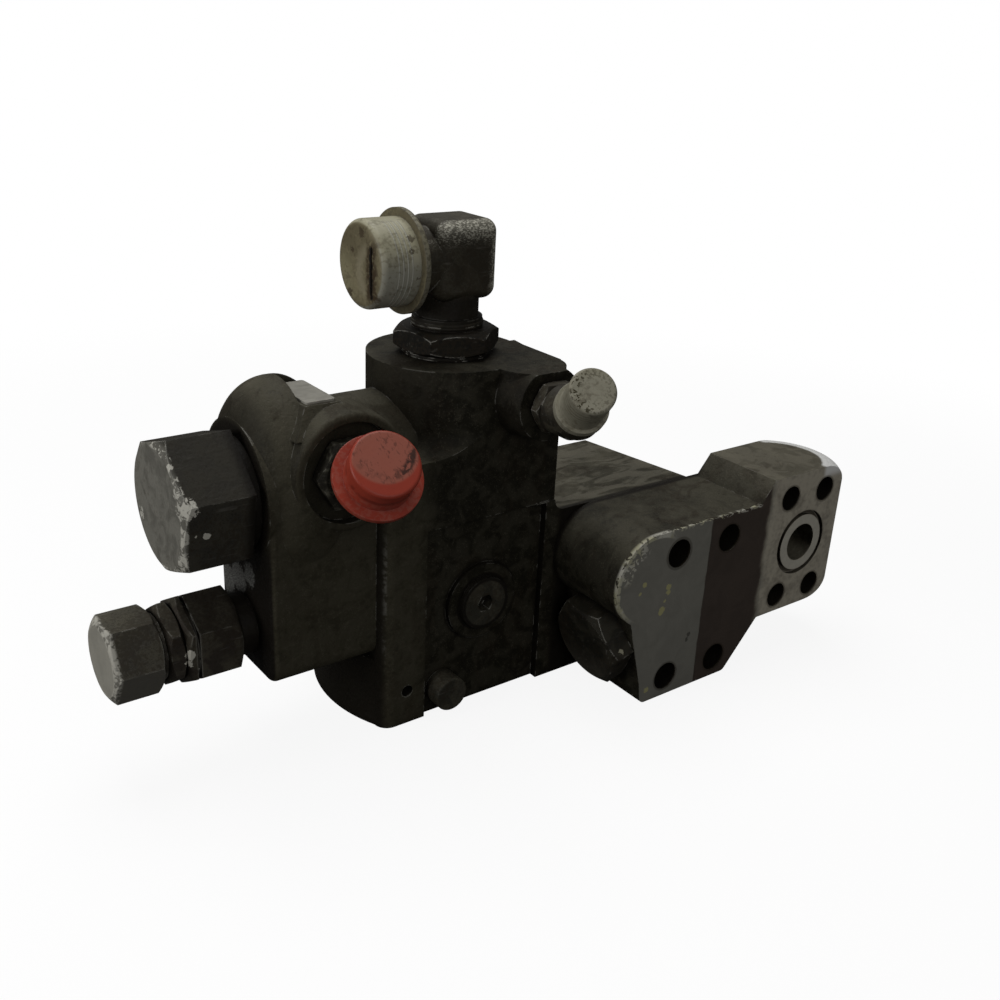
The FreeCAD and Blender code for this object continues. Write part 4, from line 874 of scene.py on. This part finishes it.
    def faded(self, colours):
        """The red plastic of the drain cap, bleached and scratched on its end, with painted shade in its
        corners.
        """
        red = Finish("faded_red_plastic", 0.45, shine=0.35, tone=colours.red)
        cloud = red.noise(70.0, 4.0, distortion=0.6)
        fine = red.noise(480.0, 4.0, distortion=0.5)
        lean = math.radians(14)
        out = (-math.sin(lean) * 0.7071, -0.7071, math.cos(lean) * 0.7071)
        middle = red.away(DRAIN_CAP_END)
        face = red.facing(out).step(0.80, 0.97) * middle.step(16.5, 15.0)
        red.coat(cloud.step(0.3, 0.8) * 0.4, RED_CLOUD)
        red.coat(face * (0.75 + cloud * 0.3).low(1.0), colours.faded)
        scrape = red.noise(900.0, 3.0, stretch=(1.0, 0.45, 0.45), distortion=0.6)
        marks = (scrape * 0.7 + cloud * 0.4).step(0.57, 0.64) * face
        red.coat(marks * 0.55, RED_MARKS)
        lower = red.x.step(-76.0, -70.0) * red.z.step(166.0, 158.0)
        rim = (middle.band(11.5, 14.6, 0.6) * (fine * 0.6 + cloud * 0.5).step(0.50, 0.58) * face
               * (0.25 + lower * 0.75))
        red.coat(rim * 0.9, RED_RIM)
        root = red.along(out).band(160.3, 163.5, 1.2) * cloud.step(0.42, 0.54)
        red.coat(root * 0.7, RED_ROOT)
        lip = red.along(out).step(160.6, 159.8) * (fine * 0.7 + cloud * 0.3).step(0.46, 0.60)
        red.coat(lip * 0.25, RED_LIP)
        # Painted shade in the red cap's corners.
        red.coat(red.corners(5 * MM).step(0.30, 0.85) * 0.75, RED_CORNER_SHADE)
        red.bump(cloud * 0.4 + fine * 0.4, 0.2 * MM, 0.8 * MM)
        red.link("Roughness", 0.30 + cloud * 0.2 + face * 0.12)
        cover(["drain_cap"], red)


class ValvePlate(bpy.types.Operator):
    """Finishes the bare plate on the dome"""

    bl_idname = "valve.plate"
    bl_label = "Bare plate"

    def execute(self, context):
        colours = settings("colours")
        finish = Finish("plate_metal", 0.42, 0.1, tone=colours.plate)
        cloud = finish.noise(120.0, 4.0)
        lines = finish.noise(300.0, 2.0, stretch=(0.2, 3.0, 1.0))
        finish.coat(cloud.step(0.4, 0.75) * 0.4, colours.dust)
        finish.coat(lines.step(0.55, 0.7) * 0.25, colours.rubbed)
        finish.bump(lines + cloud, 0.12 * MM, 0.4 * MM)
        finish.link("Roughness", 0.35 + cloud * 0.25)
        cover(["type_plate"], finish)
        return {"FINISHED"}


class ValveInside(bpy.types.Operator):
    """Finishes the inner pieces: ground steel, seal rings and the hidden screws"""

    bl_idname = "valve.inside"
    bl_label = "Inner pieces"

    def execute(self, context):
        colours = settings("colours")
        ground = Finish("ground_steel", 0.28, 0.9, tone=colours.bright)
        turning = ground.noise(900.0, 2.0, stretch=(6.0, 0.5, 0.5))
        ground.coat(turning * 0.4, TURNED_STEEL)
        ground.bump(turning, 0.02 * MM)
        ground.link("Roughness", 0.22 + turning * 0.2)
        cover(["main_poppet", "main_seat", "pilot_piston", "relief_poppet", "check_ball", "relief_screw"],
              ground)
        rubber = Finish("seal_rubber", 0.55, tone=colours.rubber)
        grain = rubber.noise(1500.0, 2.0)
        rubber.coat(grain * 0.4, RUBBER_GRAIN)
        rubber.bump(grain, 0.03 * MM)
        cover(["main_plug_seal", "relief_seal", "check_plug_seal", "cross_plug_seal", "flange_seal",
               "top_seal", "drain_seal", "pilot_seal"], rubber)
        black = Finish("black_oxide", 0.45, 0.6, tone=OXIDE)
        haze = black.noise(400.0, 3.0)
        black.coat(haze * 0.5, OXIDE_HAZE)
        black.bump(haze, 0.03 * MM)
        cover(["flange_screws"], black)
        return {"FINISHED"}


class ValveSprings(bpy.types.Operator):
    """Finishes the three springs and puts a copy of each on the valve's body, hiding the frame's own"""

    bl_idname = "valve.springs"
    bl_label = "Springs"

    def execute(self, context):
        wire = Finish("spring_wire", 0.4, 0.8, tone=WIRE)
        streak = wire.noise(500.0, 3.0)
        wire.coat(streak * 0.5, WIRE_STREAK)
        wire.bump(streak, 0.03 * MM)
        cover([name for name, *_ in SPRINGS], wire)
        for name, joint, axis, fixed, stroke in SPRINGS:
            low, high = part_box(name)
            coil = placed(name + "_coil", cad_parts[name].data.copy())
            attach(coil, "valve")
            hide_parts(name)
            direction, anchor = Vector((0, 0, 0)), (low + high) / 2
            direction[axis] = 1.0
            anchor[axis] = fixed * MM
            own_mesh(coil)
        return {"FINISHED"}


class ValveStageSet(bpy.types.Operator):
    """Sets the floor, the backdrop, the light and the camera"""

    bl_idname = "valve.stage"
    bl_label = "Stage"

    def execute(self, context):
        stage, scene = settings("stage"), context.scene
        self.sky(stage, scene)
        self.ground(stage)
        self.lamps(stage)
        self.camera(stage, scene)
        scene.view_settings.view_transform = "Standard"
        return {"FINISHED"}

    def sky(self, stage, scene):
        """Even light from all round, behind which the camera sees a white backdrop."""
        world = bpy.data.worlds.new("even_light")
        scene.world = world
        world.use_nodes = True
        tree = Tree(world.node_tree)
        tree.tree.nodes.clear()
        path = tree.node("LightPath")
        seen = tree.node("Math", [path.outputs["Is Camera Ray"], path.outputs["Is Transmission Ray"]],
                         operation="MAXIMUM")
        light = tree.node("Background", [(1, 1, 1, 1), stage.sky])
        white = tree.node("Background", [(1, 1, 1, 1), stage.floor])
        mixed = tree.node("MixShader", [seen.outputs[0], light.outputs[0], white.outputs[0]])
        tree.node("OutputWorld", [mixed.outputs[0]])

    def ground(self, stage):
        """A pale floor that fades into the backdrop away from the valve."""
        half, below = 6.0, 0.2 * MM
        data = bpy.data.meshes.new("floor")
        data.from_pydata([(-half, -half, 0), (half, -half, 0), (half, half, 0), (-half, half, 0)], [],
                         [(0, 1, 2, 3)])
        floor = placed("floor", data)
        floor.location = (0, 0, -below)
        look = Finish("pale_floor", 1.0, shine=0.0)
        look.shader.inputs["Base Color"].default_value = (0.10, 0.10, 0.098, 1)
        path = look.node("LightPath")
        pale = look.node("BsdfDiffuse", {"Color": (0.80, 0.80, 0.80, 1)})
        near = look.node("Emission", {"Strength": stage.floor * 1.12})
        far = look.node("Emission", {"Strength": stage.floor})
        lit = look.node("MixShader", [0.80, pale.outputs[0], near.outputs[0]])
        fade = look.away((20.0, 0.0, 0.0)).step(380.0, 800.0)
        seen = look.node("MixShader", [fade, lit.outputs[0], far.outputs[0]])
        both = look.node("MixShader", [path.outputs["Is Camera Ray"], look.shader.outputs[0],
                                                     seen.outputs[0]])
        look.tree.links.new(both.outputs[0], look.tree.nodes["Material Output"].inputs["Surface"])
        data.materials.append(look.material)

    def lamps(self, stage):
        """Three square lamps that point at the valve, each with its power, size and place."""
        for name, power, size, place in (("key_lamp", stage.key, 0.8, (0.05, 0.30, 1.10)),
                                         ("side_lamp", stage.side, 0.6, (-1.05, 0.10, 0.42)),
                                         ("front_lamp", stage.fill, 0.8, (-0.30, -1.10, 0.55))):
            data = bpy.data.lights.new(name, "AREA")
            data.energy = power
            data.size = size
            lamp = placed(name, data)
            lamp.location = place
            aim = Vector((0.02, 0, 0.1)) - Vector(place)
            lamp.rotation_euler = aim.to_track_quat("-Z", "Y").to_euler()

    def camera(self, stage, scene):
        """The camera of the photograph, turned as it was fitted to the flange patterns."""
        data = bpy.data.cameras.new("camera")
        data.sensor_width = 36.0
        data.lens = stage.lens
        data.clip_start = 0.01
        camera = placed("camera", data)
        right = Vector((0.8017, -0.5959, 0.0473))
        up = Vector((0.1975, 0.3386, 0.9200))
        back = right.cross(up).normalized()
        up = back.cross(right).normalized()
        right.normalize()
        turn = Matrix((right, up, back)).transposed()
        camera.matrix_world = Matrix.Translation(Vector(stage.camera_place)) @ turn.to_4x4()
        scene.camera = camera


OPERATORS = (ValveCasting, ValveFlange, ValvePlugs, ValveFittings, ValveThread, ValveCaps,
             ValvePlate, ValveInside, ValveSprings, ValveStageSet)


class ValvePanel(bpy.types.Panel):
    """Lists the valve's steps in the sidebar"""

    bl_idname = "VALVE_PT_steps"
    bl_label = "Hose rupture valve"
    bl_space_type = "VIEW_3D"
    bl_region_type = "UI"
    bl_category = "Valve"

    def draw(self, context):
        for kind in OPERATORS:
            self.layout.operator(kind.bl_idname)


GROUPS = {"colours": ValveColours, "details": ValveDetails, "stage": ValveStage}


def register():
    for kind in (*GROUPS.values(), *OPERATORS, ValvePanel):
        bpy.utils.register_class(kind)
    for name, kind in GROUPS.items():
        setattr(bpy.types.Scene, "valve_" + name, PointerProperty(type=kind))


def unregister():
    for name in GROUPS:
        delattr(bpy.types.Scene, "valve_" + name)
    for kind in (ValvePanel, *reversed(OPERATORS), *GROUPS.values()):
        bpy.utils.unregister_class(kind)


def main():
    """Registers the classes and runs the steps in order."""
    register()
    for kind in OPERATORS:
        group, name = kind.bl_idname.split(".")
        getattr(getattr(bpy.ops, group), name)()


if __name__ == "__main__":
    main()
